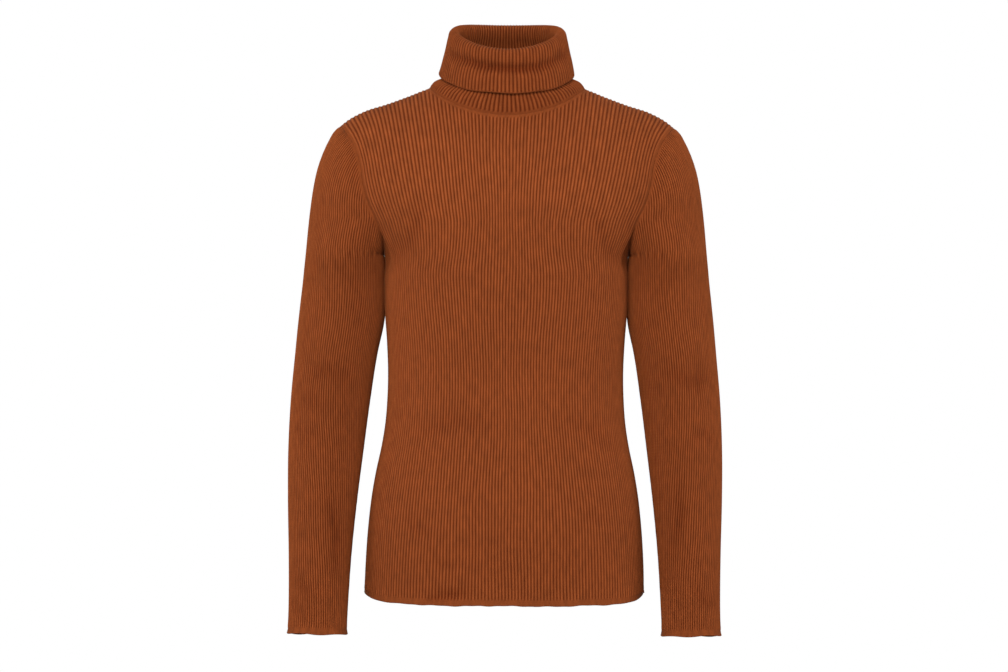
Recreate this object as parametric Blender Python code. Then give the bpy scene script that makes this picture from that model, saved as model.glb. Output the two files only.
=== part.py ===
"""A close-fitting ribbed sweater with a folded roll neck, standing hollow as if worn.

The cloth is one wall throughout, with vertical ribs raised on its outside over a plain inside. It is
made of five pieces: front, back, two sleeves and the roll neck. Sizes are in millimetres and become
metres when a mesh is made. The wearer faces -Y, +X is the wearer's left, and the origin is on the
centre line, level with the point where the shoulder meets the neck.
"""

from typing import NamedTuple

import bpy
import bmesh
import numpy as np

MM = 0.001

# The cloth
WALL = 1.8
RIB_HEIGHT = 0.9
SEAM_GAP = 0.3
PLAIN_EDGE = 6.0
PANEL_RIBS_HALF = 40
SLEEVE_RIBS_HALF = 34
COLLAR_RIBS = 68

# Places along a panel, across it from its centre (0) to its side seam (1)
NECK_POINT = 0.362
ARMHOLE_LINE = 0.75

# Heights on the body
HEM = -659.0
CHEST = -260.0
CORNER = -170.0
PANEL_TOP = -20.0
MIDDLE_Y = 8.0
SECTION_FULLNESS = 0.664
ARMHOLE_DRAW_IN = 0.058
CREASE_REACH = 70.0

# The neck seam, an oval as seen from above
NECK_HALF_WIDTH = 101.5
NECK_DEPTH = {-1: 71.5, 1: 64.0}

FRONT, BACK = -1, 1


class BodySection(NamedTuple):
    """A level cut through the body: its half width, and how far it reaches before and behind."""

    height: float
    half_width: float
    front: float
    back: float


BODY = (
    BodySection(-660, 181.0, 116, 106),
    BodySection(-620, 180.0, 114, 108),
    BodySection(-565, 176.4, 112, 106),
    BodySection(-528, 172.2, 109, 101),
    BodySection(-497, 166.9, 106, 95),
    BodySection(-466, 160.2, 104, 89),
    BodySection(-435, 155.3, 102, 84),
    BodySection(-404, 152.9, 101, 81),
    BodySection(-373, 152.1, 101, 80),
    BodySection(-330, 153.7, 105, 84),
    BodySection(-285, 156.8, 112, 92),
    BodySection(-250, 157.8, 118, 99),
    BodySection(-216, 159.5, 122, 105),
    BodySection(-205, 166.0, 122.5, 106),
    BodySection(-190, 177.0, 122.5, 107),
    BodySection(-170, 190.0, 122, 108),
)


class ArmholePoint(NamedTuple):
    """A point of the armhole seam, on its front half and on its back half."""

    x: float
    front_y: float
    back_y: float
    height: float


ARMHOLE = (
    ArmholePoint(216.5, 8, 8, -49),
    ArmholePoint(210.5, -17, 33, -57),
    ArmholePoint(202.0, -30, 46, -68),
    ArmholePoint(194.5, -40, 56, -82),
    ArmholePoint(187.5, -50, 64, -104),
    ArmholePoint(183.5, -56, 68, -128),
    ArmholePoint(177.5, -58, 69, -150),
    ArmholePoint(168.0, -56, 66, -170),
    ArmholePoint(161.8, -49, 58, -184),
    ArmholePoint(159.2, -37, 47, -198),
    ArmholePoint(158.6, -18, 31, -210),
    ArmholePoint(159.5, 8, 8, -216),
)
CORNER_INDEX = 7


class TopPoint(NamedTuple):
    """Where a place across a panel arrives at the top of the body.

    From the neck point outwards that is the shoulder seam. Inside the neck it is a level that the panel
    would reach if it had no neck opening. leave and arrive are how strongly it rises at its two ends.
    """

    across: float
    x: float
    front_z: float
    back_z: float
    leave: float
    arrive: float


TOP = (
    TopPoint(0.0, 0.0, 12.0, 77.0, 185, 175),
    TopPoint(0.09, 24.6, 11.0, 70.0, 187, 173),
    TopPoint(0.18, 49.2, 8.6, 51.0, 190, 170),
    TopPoint(0.27, 73.8, 4.6, 25.0, 192, 166),
    TopPoint(0.362, 101.5, 0.0, 0.0, 192, 162),
    TopPoint(0.451, 128.0, -10.2, -10.2, 184, 156),
    TopPoint(0.5385, 154.4, -20.0, -20.0, 174, 150),
    TopPoint(0.643, 186.5, -30.6, -30.6, 162, 138),
    TopPoint(0.71, 206.0, -41.0, -41.0, 154, 126),
    TopPoint(0.75, 216.5, -49.0, -49.0, 150, 118),
)


class SleeveSection(NamedTuple):
    """A level cut through a sleeve.

    outer and inner are its two edges as x, and middle is its centre line as y. reach is how strongly
    it bulges to the front and the back. ribs is the share of the ribs that are left below the
    underarm, and tilt is how far the cut is tipped up at the front.
    """

    height: float
    outer: float
    inner: float
    middle: float
    reach: float
    ribs: float
    tilt: float


SLEEVE = (
    SleeveSection(-704.5, 276.4, 203.6, -43, 44.0, 0.655, 0.10),
    SleeveSection(-664, 276.4, 201.8, -34.5, 45.5, 0.67, 0.08),
    SleeveSection(-600, 278.0, 198.4, -20, 49.5, 0.715, 0.05),
    SleeveSection(-534, 280.6, 192.6, -5, 54.5, 0.775, 0.03),
    SleeveSection(-470, 281.6, 185.4, 8, 60.0, 0.855, 0.0),
    SleeveSection(-404, 279.4, 177.5, 18, 66.0, 0.94, 0.0),
    SleeveSection(-342, 274.0, 168.2, 20, 72.0, 0.985, 0.0),
    SleeveSection(-305, 270.6, 160.4, 20.5, 76.0, 0.995, 0.0),
    SleeveSection(-278, 267.6, 158.2, 18.5, 79.0, 0.998, 0.0),
    SleeveSection(-250, 264.2, 159.1, 14, 82.5, 0.9993, 0.0),
    SleeveSection(-234, 262.4, 159.6, 11, 84.5, 0.9998, 0.0),
    SleeveSection(-216, 260.2, 159.5, 8, 86.0, 1.0, 0.0),
    SleeveSection(-198, 258.6, 159.5, 8, 87.0, 1.0, 0.0),
    SleeveSection(-184, 257.4, 159.5, 8, 87.6, 1.0, 0.0),
    SleeveSection(-170, 256.0, 159.5, 8, 88.4, 1.0, 0.0),
    SleeveSection(-150, 253.6, 159.5, 8, 90.0, 1.0, 0.0),
    SleeveSection(-128, 250.4, 159.5, 8, 87.5, 1.0, 0.0),
    SleeveSection(-104, 245.2, 159.5, 8, 79.5, 1.0, 0.0),
    SleeveSection(-82, 237.4, 159.5, 8, 66.0, 1.0, 0.0),
    SleeveSection(-68, 230.8, 159.5, 8, 52.3, 1.0, 0.0),
    SleeveSection(-57, 224.2, 159.5, 8, 34.5, 1.0, 0.0),
    SleeveSection(-49, 216.5, 159.5, 8, 0.0, 1.0, 0.0),
)
UNDERARM = -216.0
SLEEVE_TOP = -49.0
CUFF = -704.5
SLEEVE_FULLEST = 1.38
UNDERARM_EASE = 8.0


class CollarRing(NamedTuple):
    """A ring of the roll neck, in the middle of its wall, in order along the folded cloth."""

    half_width: float
    front_y: float
    back_y: float
    front_z: float
    side_z: float
    back_z: float


COLLAR = (
    CollarRing(100.7, -63.0, 71.2, -39.0, 0.6, 8.6),
    CollarRing(94.0, -66.5, 66.5, -27.0, 8.6, 18.5),
    CollarRing(81.0, -69.5, 60.0, -12.5, 14.5, 28.5),
    CollarRing(74.5, -67.5, 52.5, 4.5, 33.0, 47.0),
    CollarRing(67.4, -63.0, 43.5, 20.5, 51.0, 63.0),
    CollarRing(63.2, -59.5, 34.0, 32.6, 64.0, 75.8),
    CollarRing(64.2, -60.2, 32.0, 40.2, 71.2, 82.8),
    CollarRing(68.4, -65.0, 36.5, 43.6, 74.6, 86.2),
    CollarRing(73.2, -70.6, 42.0, 40.6, 71.6, 82.8),
    CollarRing(75.4, -73.2, 45.6, 33.4, 64.2, 75.0),
    CollarRing(78.8, -74.0, 53.0, 19.0, 49.4, 61.4),
    CollarRing(82.8, -74.8, 59.5, 3.0, 33.5, 46.5),
    CollarRing(86.8, -75.8, 65.5, -13.6, 16.5, 31.0),
)

RUST = (0.262, 0.061, 0.016, 1.0)
CLOTH_ROUGHNESS = 0.92


def column(table: tuple, name: str) -> np.ndarray:
    """One named column of a table."""
    return np.array([getattr(row, name) for row in table], float)


def through(knots: np.ndarray, values: np.ndarray, at: np.ndarray) -> np.ndarray:
    """A smooth curve through values at knots, which rise, read at the given places."""
    slopes = np.gradient(values, knots, axis=0)
    at = np.clip(at, knots[0], knots[-1])
    k = np.clip(np.searchsorted(knots, at, side="right") - 1, 0, len(knots) - 2)
    step = knots[k + 1] - knots[k]
    u = (at - knots[k]) / step
    if values.ndim > 1:
        u, step = u[..., None], step[..., None]
    first = (1 + 2 * u) * (1 - u) ** 2 * values[k] + u * (1 - u) ** 2 * step * slopes[k]
    return first + u * u * (3 - 2 * u) * values[k + 1] + u * u * (u - 1) * step * slopes[k + 1]


def blend(low: float, high: float, at: np.ndarray) -> np.ndarray:
    """0 below low, 1 above high, and smooth between."""
    u = np.clip((at - low) / (high - low), 0, 1)
    return u * u * (3 - 2 * u)


def bezier(a, b, c, d, u):
    """A point of a cubic curve from a to d, drawn towards b and c."""
    return (1 - u) ** 3 * a + 3 * u * (1 - u) ** 2 * b + 3 * u * u * (1 - u) * c + u**3 * d


def unit(vectors: np.ndarray) -> np.ndarray:
    return vectors / np.maximum(np.linalg.norm(vectors, axis=-1, keepdims=True), 1e-12)


def chord_places(points: np.ndarray) -> np.ndarray:
    """The distance along a row of points, from 0 to 1."""
    steps = np.linalg.norm(np.diff(points, axis=0), axis=1)
    places = np.concatenate([[0.0], np.cumsum(steps)])
    return places / places[-1]


class EvenCurve:
    """Cuts at many heights, each read at an even share of its own length."""

    def __init__(self, cut, low: float, high: float, levels: int = 90):
        self.low, self.high, self.levels = low, high, levels
        u = np.linspace(0, 1, 65)
        heights = np.linspace(low, high, levels)
        points = cut(heights[:, None], u[None, :])
        steps = np.linalg.norm(np.diff(points, axis=1), axis=2) + 1e-6
        self.shares = np.linspace(0, 1, 49)
        rows = []
        for row in steps:
            run = np.concatenate([[0.0], np.cumsum(row)])
            rows.append(np.interp(self.shares, run / run[-1], u))
        self.chart = np.array(rows)

    def __call__(self, height: np.ndarray, share: np.ndarray) -> np.ndarray:
        r = np.clip((height - self.low) / (self.high - self.low), 0, 1) * (self.levels - 1)
        c = np.clip(share, 0, 1) * (len(self.shares) - 1)
        r0 = np.minimum(r.astype(int), self.levels - 2)
        c0 = np.minimum(c.astype(int), len(self.shares) - 2)
        r, c = r - r0, c - c0
        low = self.chart[r0, c0] * (1 - c) + self.chart[r0, c0 + 1] * c
        high = self.chart[r0 + 1, c0] * (1 - c) + self.chart[r0 + 1, c0 + 1] * c
        return low * (1 - r) + high * r


# The seams that the pieces share


def armhole_loop(side: int) -> tuple[np.ndarray, np.ndarray]:
    """The armhole's points on one half, with one more past each end, and their places along it."""
    rows = {
        s: np.stack([column(ARMHOLE, "x"), column(ARMHOLE, n), column(ARMHOLE, "height")], axis=1)
        for s, n in ((FRONT, "front_y"), (BACK, "back_y"))
    }
    points = np.concatenate([rows[-side][1:2], rows[side], rows[-side][-2:-1]])
    places = chord_places(points)
    low, high = places[1], places[-2]
    return (places - low) / (high - low), points


def armhole(side: int, place: np.ndarray) -> np.ndarray:
    """A point of the armhole seam at +X, from the shoulder (0) to the underarm (1)."""
    knots, points = armhole_loop(side)
    return through(knots, points, np.asarray(place, float))


def armhole_places(side: int) -> np.ndarray:
    """Where the table's points lie along the armhole."""
    return armhole_loop(side)[0][1:-1]


def neck_normal(angle: np.ndarray) -> np.ndarray:
    """Out of the cloth at the neck seam, halfway between the panel and the roll neck."""
    rise = np.radians(36 + 22 * np.sin(angle) ** 2)
    return np.stack(
        [np.sin(angle) * np.cos(rise), -np.cos(angle) * np.cos(rise), np.sin(rise)], axis=-1
    )


ARMHOLE_CENTRE = np.array([190.0, MIDDLE_Y, -128.0])
SHOULDER_UP = unit(np.array([0.42, 0.0, 0.91]))


def armhole_normal(side: int, place: np.ndarray, own: float) -> np.ndarray:
    """Out of the cloth at the armhole. own is +1 for the panel and -1 for the sleeve.

    The two pieces share it, but for the underarm, where they lie back to back.
    """
    point = armhole(side, place)
    along = unit(armhole(side, place + 0.01) - armhole(side, place - 0.01))
    out = unit(point - ARMHOLE_CENTRE)
    sideways = blend(0.70, 1.0, place)[..., None]
    top = blend(0.20, 0.0, place)[..., None]
    out = out * (1 - sideways) + np.array([own, 0.0, 0.0]) * sideways
    out = out * (1 - top) + SHOULDER_UP * top
    out = out - along * np.sum(out * along, axis=-1, keepdims=True)
    return unit(out)


# The front and the back


class Panel:
    """The outside of a front or back, without its ribs.

    across is -1 to 1 between the side seams. up is a height: a true one below the chest, and above it
    one that is drawn in, so that every rib ends on its own edge of the panel.
    """

    def __init__(self, side: int):
        self.side = side
        self.reach = "front" if side == FRONT else "back"
        self.top_z = "front_z" if side == FRONT else "back_z"
        self.corner = armhole_places(side)[CORNER_INDEX]
        self.even = EvenCurve(self.section, HEM - 5, CORNER + 1)
        self.seat = np.zeros(3)
        self.seat = self.armhole_end(np.array([ARMHOLE_LINE])) - self.body(
            np.array([ARMHOLE_LINE]), np.array([CORNER])
        )
        self.neck_places, self.neck_reach = self.neck_cut()

    def section(self, height, u):
        half = through(column(BODY, "height"), column(BODY, "half_width"), height)
        reach = through(column(BODY, "height"), column(BODY, self.reach), height)
        x = bezier(0, SECTION_FULLNESS * half, half, half, u)
        y = MIDDLE_Y + self.side * bezier(reach, reach, SECTION_FULLNESS * reach, 0, u)
        return np.stack(np.broadcast_arrays(x, y, height), axis=-1)

    def body(self, across, height):
        """A point on the level cut at a height."""
        far = np.abs(across)
        share = far - ARMHOLE_DRAW_IN * blend(-245, CORNER, height) * np.sin(np.pi * far)
        point = self.section(height, self.even(height, share))
        point[..., 0] *= np.sign(across)
        return point

    def armhole_end(self, across):
        """Where the ribs by the side seam end, on the lower armhole."""
        share = np.clip((np.abs(across) - ARMHOLE_LINE) / (1 - ARMHOLE_LINE), 0, 1)
        point = armhole(self.side, self.corner + (1 - self.corner) * share)
        point[..., 0] *= np.where(across < 0, -1, 1)
        return point

    def lower(self, across, up):
        """A point of the panel below the level of the armhole's corner."""
        end = self.armhole_end(across)
        beyond = np.abs(across) > ARMHOLE_LINE
        top = np.where(beyond, end[..., 2], CORNER)
        drawn = CHEST + (up - CHEST) * (top - CHEST) / (CORNER - CHEST)
        height = np.where(up > CHEST, drawn, up)
        miss = end - self.body(across, top)
        near = (np.clip(np.abs(across) / ARMHOLE_LINE, 0, 1) ** 6)[..., None]
        seat = self.seat * np.stack([np.sign(across)] + [np.ones_like(across)] * 2, axis=-1)
        miss = np.where(beyond[..., None], miss, near * seat)
        return self.body(across, height) + miss * blend(CREASE_REACH, 0, top - height)[..., None]

    def rise(self, across, u):
        """The smooth rise from the corner's level to the top of the body."""
        far, turn = np.abs(across), np.where(across < 0, -1, 1)
        start = self.lower(across, np.full_like(far, CORNER))
        before = self.lower(across, np.full_like(far, CORNER - 3.0))
        top = {n: through(column(TOP, "across"), column(TOP, n), far) for n in TopPoint._fields}
        leave = (start - before) / 3.0 * top["leave"][..., None]
        end = np.stack([turn * top["x"], np.full_like(far, MIDDLE_Y), top[self.top_z]], axis=-1)
        zero = np.zeros_like(far)
        arrive = np.stack([zero, -self.side * top["arrive"], zero], axis=-1)
        u = u[..., None]
        point = (1 + 2 * u) * (1 - u) ** 2 * start + u * (1 - u) ** 2 * leave
        return point + u * u * (3 - 2 * u) * end + u * u * (u - 1) * arrive

    def shell(self, across, u):
        """The rise, drawn to the armhole at its outer end."""
        edge = np.where(across < 0, -1, 1) * ARMHOLE_LINE
        seam = armhole(self.side, self.corner * (1 - u))
        seam[..., 0] *= np.sign(edge)
        near = (np.clip(np.abs(across) / ARMHOLE_LINE, 0, 1) ** 5)[..., None]
        return self.rise(across, u) + near * (seam - self.rise(edge, u))

    def neck_cut(self):
        """How far up each place across the panel the neck opening begins."""
        across = np.linspace(0, NECK_POINT, 60)
        u = np.linspace(0, 1, 500)
        points = self.shell(*np.broadcast_arrays(across[:, None], u[None, :]))
        inside = (points[..., 0] / NECK_HALF_WIDTH) ** 2
        inside = inside + ((points[..., 1] - MIDDLE_Y) / NECK_DEPTH[self.side]) ** 2
        reach = np.array([np.interp(-1.0, -row, u) for row in inside])
        reach[-1] = 1.0
        return across, reach

    def upper(self, across, up):
        """A point of the panel between the armholes."""
        u = np.clip((up - CORNER) / (PANEL_TOP - CORNER), 0, 1)
        return self.shell(across, u * np.interp(np.abs(across), self.neck_places, self.neck_reach))

    def __call__(self, across, up):
        across, up = np.broadcast_arrays(np.asarray(across, float), np.asarray(up, float))
        low = self.lower(across, np.minimum(up, CORNER))
        inside = np.clip(across, -ARMHOLE_LINE, ARMHOLE_LINE)
        high = self.upper(inside, np.maximum(up, CORNER))
        return np.where((up > CORNER)[..., None], high, low)

    def normal(self, across, up):
        """Out of the cloth."""
        across, up = np.broadcast_arrays(np.asarray(across, float), np.asarray(up, float))
        limit = np.where(up > CORNER, ARMHOLE_LINE, 1.0)
        left, right = np.maximum(across - 0.01, -limit), np.minimum(across + 0.01, limit)
        above = np.where(up > CORNER - 2, PANEL_TOP, CORNER)
        down, top = np.maximum(up - 2, HEM), np.minimum(up + 2, above)
        wide = self(right, up) - self(left, up)
        tall = self(across, top) - self(across, down)
        return unit(-self.side * np.cross(wide, tall))

    def seam_normal(self, across, up, place=None):
        """Out of the cloth at an edge of the panel, as the pieces that meet there share it."""
        far, turn = abs(across), -1 if across < 0 else 1
        if place is not None:
            out = armhole_normal(self.side, np.array(place), 1.0)
        elif up >= PANEL_TOP and far <= NECK_POINT:
            out = neck_normal(neck_angle(self(np.array(far), np.array(up))))
        elif up >= PANEL_TOP:
            share = (far - NECK_POINT) / (ARMHOLE_LINE - NECK_POINT)
            out = unit(neck_normal(np.array(np.pi / 2)) * (1 - share) + SHOULDER_UP * share)
        elif far >= 1.0:
            out = np.array([1.0, 0.0, 0.0])
        else:
            out = self.normal(np.array(far), np.array(up))
        return out * np.array([turn, 1.0, 1.0])


PANELS = {side: Panel(side) for side in (FRONT, BACK)}


def neck_angle(point: np.ndarray) -> np.ndarray:
    """The angle of a point of the neck seam, 0 at centre front and half a turn at centre back."""
    deep = point[..., 1] - MIDDLE_Y
    depth = np.where(deep < 0, NECK_DEPTH[FRONT], NECK_DEPTH[BACK])
    return np.arctan2(point[..., 0] / NECK_HALF_WIDTH, -deep / depth)


def neck_table() -> tuple[np.ndarray, np.ndarray]:
    """Points along the half of the neck seam at +X, with their angles."""
    across = np.linspace(0, NECK_POINT, 60)
    front = PANELS[FRONT](across, PANEL_TOP)
    back = PANELS[BACK](across[-2::-1], PANEL_TOP)
    points = np.concatenate([front, back])
    return neck_angle(points), points


NECK_ANGLES, NECK_POINTS = neck_table()


def neck_seam(angle: np.ndarray) -> np.ndarray:
    """A point of the neck seam."""
    angle = (np.asarray(angle, float) + np.pi) % (2 * np.pi) - np.pi
    point = through(NECK_ANGLES, NECK_POINTS, np.abs(angle))
    point[..., 0] *= np.where(angle < 0, -1, 1)
    return point


# The sleeve


class Sleeve:
    """The outside of the sleeve at +X, without its ribs.

    A cut is read at a height and at an even share of its length, from -1 at the underarm by way of the
    front to 0 at the outer edge, and by way of the back to 1. Above the underarm it is open, and its
    ends lie on the armhole.
    """

    def __init__(self):
        self.heights = column(SLEEVE, "height")
        self.places = np.linspace(0, 1, 400)
        self.levels = {side: armhole(side, self.places)[:, 2] for side in (FRONT, BACK)}
        self.even = {
            side: EvenCurve(lambda h, u, s=side: self.section(s, h, u), CUFF - 2, SLEEVE_TOP, 420)
            for side in (FRONT, BACK)
        }
        self.fine = np.linspace(CUFF, SLEEVE_TOP, 800)
        ribs = through(self.heights, column(SLEEVE, "ribs"), self.fine)
        below = self.fine <= UNDERARM
        ribs[below] = np.maximum.accumulate(ribs[below])
        length = self.cut_lengths(np.append(UNDERARM, self.fine[~below]))
        ribs[~below] = np.minimum.accumulate(length[1:] / length[0])
        self.ribs = np.clip(ribs, 0, 1)

    def cut_lengths(self, height):
        """The length of the open cut at each height, as the mean of its two halves."""
        u = np.linspace(0, 1, 80)[None, :]
        halves = [np.diff(self.section(s, height[:, None], u), axis=1) for s in (FRONT, BACK)]
        return sum(np.linalg.norm(half, axis=2).sum(axis=1) for half in halves) / 2

    def read(self, name, height):
        return through(self.heights, column(SLEEVE, name), height)

    def seam(self, side, height):
        """The armhole at a height, as x and as how far it is from the middle."""
        levels = -np.minimum.accumulate(self.levels[side])
        point = armhole(side, np.interp(-height, levels, self.places))
        return point[..., 0], np.abs(point[..., 1] - MIDDLE_Y)

    def section(self, side, height, u):
        """Half a cut, from the outer edge (0) to the inner one (1), tipped by its tilt.

        The whole half is the cubic curve 3 v (1 - v) deep. Above the underarm it ends where it is as
        deep as the armhole, its inner edge is placed so that it passes through the armhole there, and
        within a few millimetres of the underarm it keeps to the ring below.
        """
        height = np.asarray(height, float)
        names = ("outer", "inner", "middle", "reach")
        outer, inner, middle, reach = (self.read(name, height) for name in names)
        x_seam, depth = self.seam(side, height)
        above = height >= UNDERARM
        depth = np.where(above, depth, 0.0)
        reach = np.maximum(reach, depth * SLEEVE_FULLEST)
        part = depth / (3 * np.maximum(reach, 1e-6))
        gone = 0.5 - np.sqrt(np.maximum(0.25 - part, 0))
        passed = gone**2 * (3 - 2 * gone)
        fitted = (x_seam - outer * passed) / (1 - passed)
        ease = np.where(above, np.exp(-np.abs(height - UNDERARM) / UNDERARM_EASE), 1.0)
        edge = inner * ease + fitted * (1 - ease)
        v = u * (1 - gone)
        x = bezier(outer, outer, edge, edge, v)
        miss = x_seam - bezier(outer, outer, edge, edge, 1 - gone)
        x = x + np.where(above, miss, 0.0) * blend(0.5, 1.0, u)
        y = middle + side * 3 * reach * v * (1 - v)
        z = height - self.read("tilt", height) * (y - middle)
        return np.stack(np.broadcast_arrays(x, y, z), axis=-1)

    def __call__(self, share, height):
        share, height = np.broadcast_arrays(np.asarray(share, float), np.asarray(height, float))
        far = np.abs(share)
        front = self.section(FRONT, height, self.even[FRONT](height, far))
        back = self.section(BACK, height, self.even[BACK](height, far))
        return np.where((share < 0)[..., None], front, back)

    def normal(self, share, height):
        """Out of the cloth."""
        share, height = np.broadcast_arrays(np.asarray(share, float), np.asarray(height, float))
        left, right = np.maximum(share - 0.02, -1), np.minimum(share + 0.02, 1)
        down, top = np.maximum(height - 2, CUFF), np.minimum(height + 2, SLEEVE_TOP)
        wide = self(right, height) - self(left, height)
        tall = self(share, top) - self(share, down)
        return unit(np.cross(wide, tall))

    def rib(self, rib, down):
        """The share and height at a place on a rib, from its upper end (0) to its lower one (1)."""
        rib, down = np.broadcast_arrays(np.asarray(rib, float), np.asarray(down, float))
        below = self.fine <= UNDERARM
        top = np.interp(-np.abs(rib), -self.ribs[~below], self.fine[~below])
        bottom = np.interp(np.abs(rib), self.ribs[below], self.fine[below])
        height = top + (bottom - top) * down
        share = rib / np.maximum(np.interp(height, self.fine, self.ribs), 1e-6)
        return np.clip(share, -1, 1), height


# The roll neck


class Collar:
    """The roll neck, in the middle of its wall. along runs from the neck seam (0) to the free edge (1)."""

    def __init__(self):
        side = np.stack([column(COLLAR, "half_width"), column(COLLAR, "side_z")], axis=1)
        self.places = chord_places(side)
        self.seat_reach = self.places[3]

    def ring(self, angle, along):
        angle, along = np.broadcast_arrays(np.asarray(angle, float), np.asarray(along, float))
        read = {n: through(self.places, column(COLLAR, n), along) for n in CollarRing._fields}
        middle, reach = (
            (read["back_y"] + read["front_y"]) / 2,
            (read["back_y"] - read["front_y"]) / 2,
        )
        ends = (read["front_z"] + read["back_z"]) / 2
        tip = (read["front_z"] - read["back_z"]) / 2
        level, saddle = (ends + read["side_z"]) / 2, (ends - read["side_z"]) / 2
        return np.stack(
            [
                read["half_width"] * np.sin(angle),
                middle - reach * np.cos(angle),
                level + tip * np.cos(angle) + saddle * np.cos(2 * angle),
            ],
            axis=-1,
        )

    def seam(self, angle):
        """Where the middle of the wall meets the neck seam, clear of the panels by half the gap."""
        along = unit(neck_seam(angle + 0.01) - neck_seam(angle - 0.01))
        out = neck_normal(angle)
        up = unit(np.cross(along, out))
        up = up * np.sign(up[..., 2:3])
        return neck_seam(angle) - out * WALL / 2 + up * SEAM_GAP / 2

    def __call__(self, angle, along):
        angle, along = np.broadcast_arrays(np.asarray(angle, float), np.asarray(along, float))
        miss = self.seam(angle) - self.ring(angle, np.zeros_like(along))
        near = (1 - blend(0, self.seat_reach, along))[..., None]
        return self.ring(angle, along) + miss * near

    def normal(self, angle, along):
        """Out of the cloth on its lower layer, which is inwards where it is folded over."""
        angle, along = np.broadcast_arrays(np.asarray(angle, float), np.asarray(along, float))
        wide = self(angle + 0.02, along) - self(angle - 0.02, along)
        tall = self(angle, np.minimum(along + 0.01, 1)) - self(angle, np.maximum(along - 0.01, 0))
        out = unit(np.cross(wide, tall))
        seam = (1 - blend(0, 0.05, along))[..., None]
        return unit(out * (1 - seam) + neck_normal(angle) * seam)


# Making the solids


class Skin:
    """The points and faces of one closed piece, gathered patch by patch."""

    def __init__(self):
        self.points: list[np.ndarray] = []
        self.faces: list[tuple[int, ...]] = []
        self.count = 0

    def add(self, points: np.ndarray) -> np.ndarray:
        """Adds points, and gives their numbers in the same layout."""
        flat = np.asarray(points, float).reshape(-1, 3)
        numbers = np.arange(self.count, self.count + len(flat))
        self.points.append(flat)
        self.count += len(flat)
        return numbers.reshape(points.shape[:-1])

    def grid(self, ids: np.ndarray) -> None:
        """Faces over a grid of points."""
        for low, high in zip(ids[:-1], ids[1:]):
            self.strip(low, high)

    def strip(self, low, high) -> None:
        """Four-sided faces between two rows of equally many points."""
        for i in range(len(low) - 1):
            corners = list(dict.fromkeys((low[i], low[i + 1], high[i + 1], high[i])))
            if len(corners) > 2:
                self.faces.append(tuple(int(c) for c in corners))

    def lace(self, low, low_at, high, high_at) -> None:
        """Triangles between two rows of points that run alike but differ in number."""
        i = j = 0
        while i < len(low) - 1 or j < len(high) - 1:
            step_low = low_at[i + 1] if i < len(low) - 1 else np.inf
            step_high = high_at[j + 1] if j < len(high) - 1 else np.inf
            if step_low <= step_high:
                corners = (low[i], low[i + 1], high[j])
                i += 1
            else:
                corners = (low[i], high[j + 1], high[j])
                j += 1
            if len(set(corners)) == 3:
                self.faces.append(tuple(int(c) for c in corners))

    def build(self, name: str, mirrored: bool = False) -> bpy.types.Object:
        """Makes the object, mirrored to -X if asked."""
        points = np.concatenate(self.points) * MM
        if mirrored:
            points[:, 0] *= -1
        mesh = bpy.data.meshes.new(name)
        mesh.from_pydata([tuple(p) for p in points], [], self.faces)
        work = bmesh.new()
        work.from_mesh(mesh)
        loose = [v for v in work.verts if not v.link_faces]
        bmesh.ops.delete(work, geom=loose, context="VERTS")
        bmesh.ops.triangulate(work, faces=work.faces)
        bmesh.ops.recalc_face_normals(work, faces=work.faces)
        work.to_mesh(mesh)
        work.free()
        mesh.shade_smooth()
        mesh.set_sharp_from_angle(angle=np.radians(50))
        piece = bpy.data.objects.new(name, mesh)
        bpy.context.scene.collection.objects.link(piece)
        mesh.materials.append(knit(name))
        return piece


def knit(name: str) -> bpy.types.Material:
    """Rust-brown rib knit."""
    material = bpy.data.materials.new(f"{name}_knit")
    material.use_nodes = True
    shader = material.node_tree.nodes["Principled BSDF"]
    shader.inputs["Base Color"].default_value = RUST
    shader.inputs["Roughness"].default_value = CLOTH_ROUGHNESS
    shader.inputs["Metallic"].default_value = 0.0
    return material


def part_way(edge: np.ndarray, inward: np.ndarray) -> np.ndarray:
    """Half the seam gap, square to an edge and towards the inside of its piece."""
    along = unit(np.gradient(edge, axis=0))
    inward = inward - along * np.sum(inward * along, axis=-1, keepdims=True)
    return unit(inward) * SEAM_GAP / 2


def panel_columns(panel: Panel) -> np.ndarray:
    """The plain wall's columns on one half, which meet the neck seam and the armhole's points."""
    neck = np.linspace(0, NECK_POINT, 6)
    top = np.linspace(NECK_POINT, ARMHOLE_LINE, 5)[1:]
    places = armhole_places(panel.side)[CORNER_INDEX + 1 :]
    share = (places - panel.corner) / (1 - panel.corner)
    return np.concatenate([neck, top, ARMHOLE_LINE + (1 - ARMHOLE_LINE) * share])


PANEL_ROWS = (HEM, -600.0, -540.0, -480.0, -430.0, -370.0, -310.0, CHEST, -215.0, CORNER)
RIB_ROWS_LOW = (HEM + PLAIN_EDGE, -585.0, -520.0, -462.0, -405.0, -335.0, CHEST, CORNER - 12)
RIB_ROWS_HIGH = (-136.0, -96.0, -58.0, -26.0)


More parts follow.
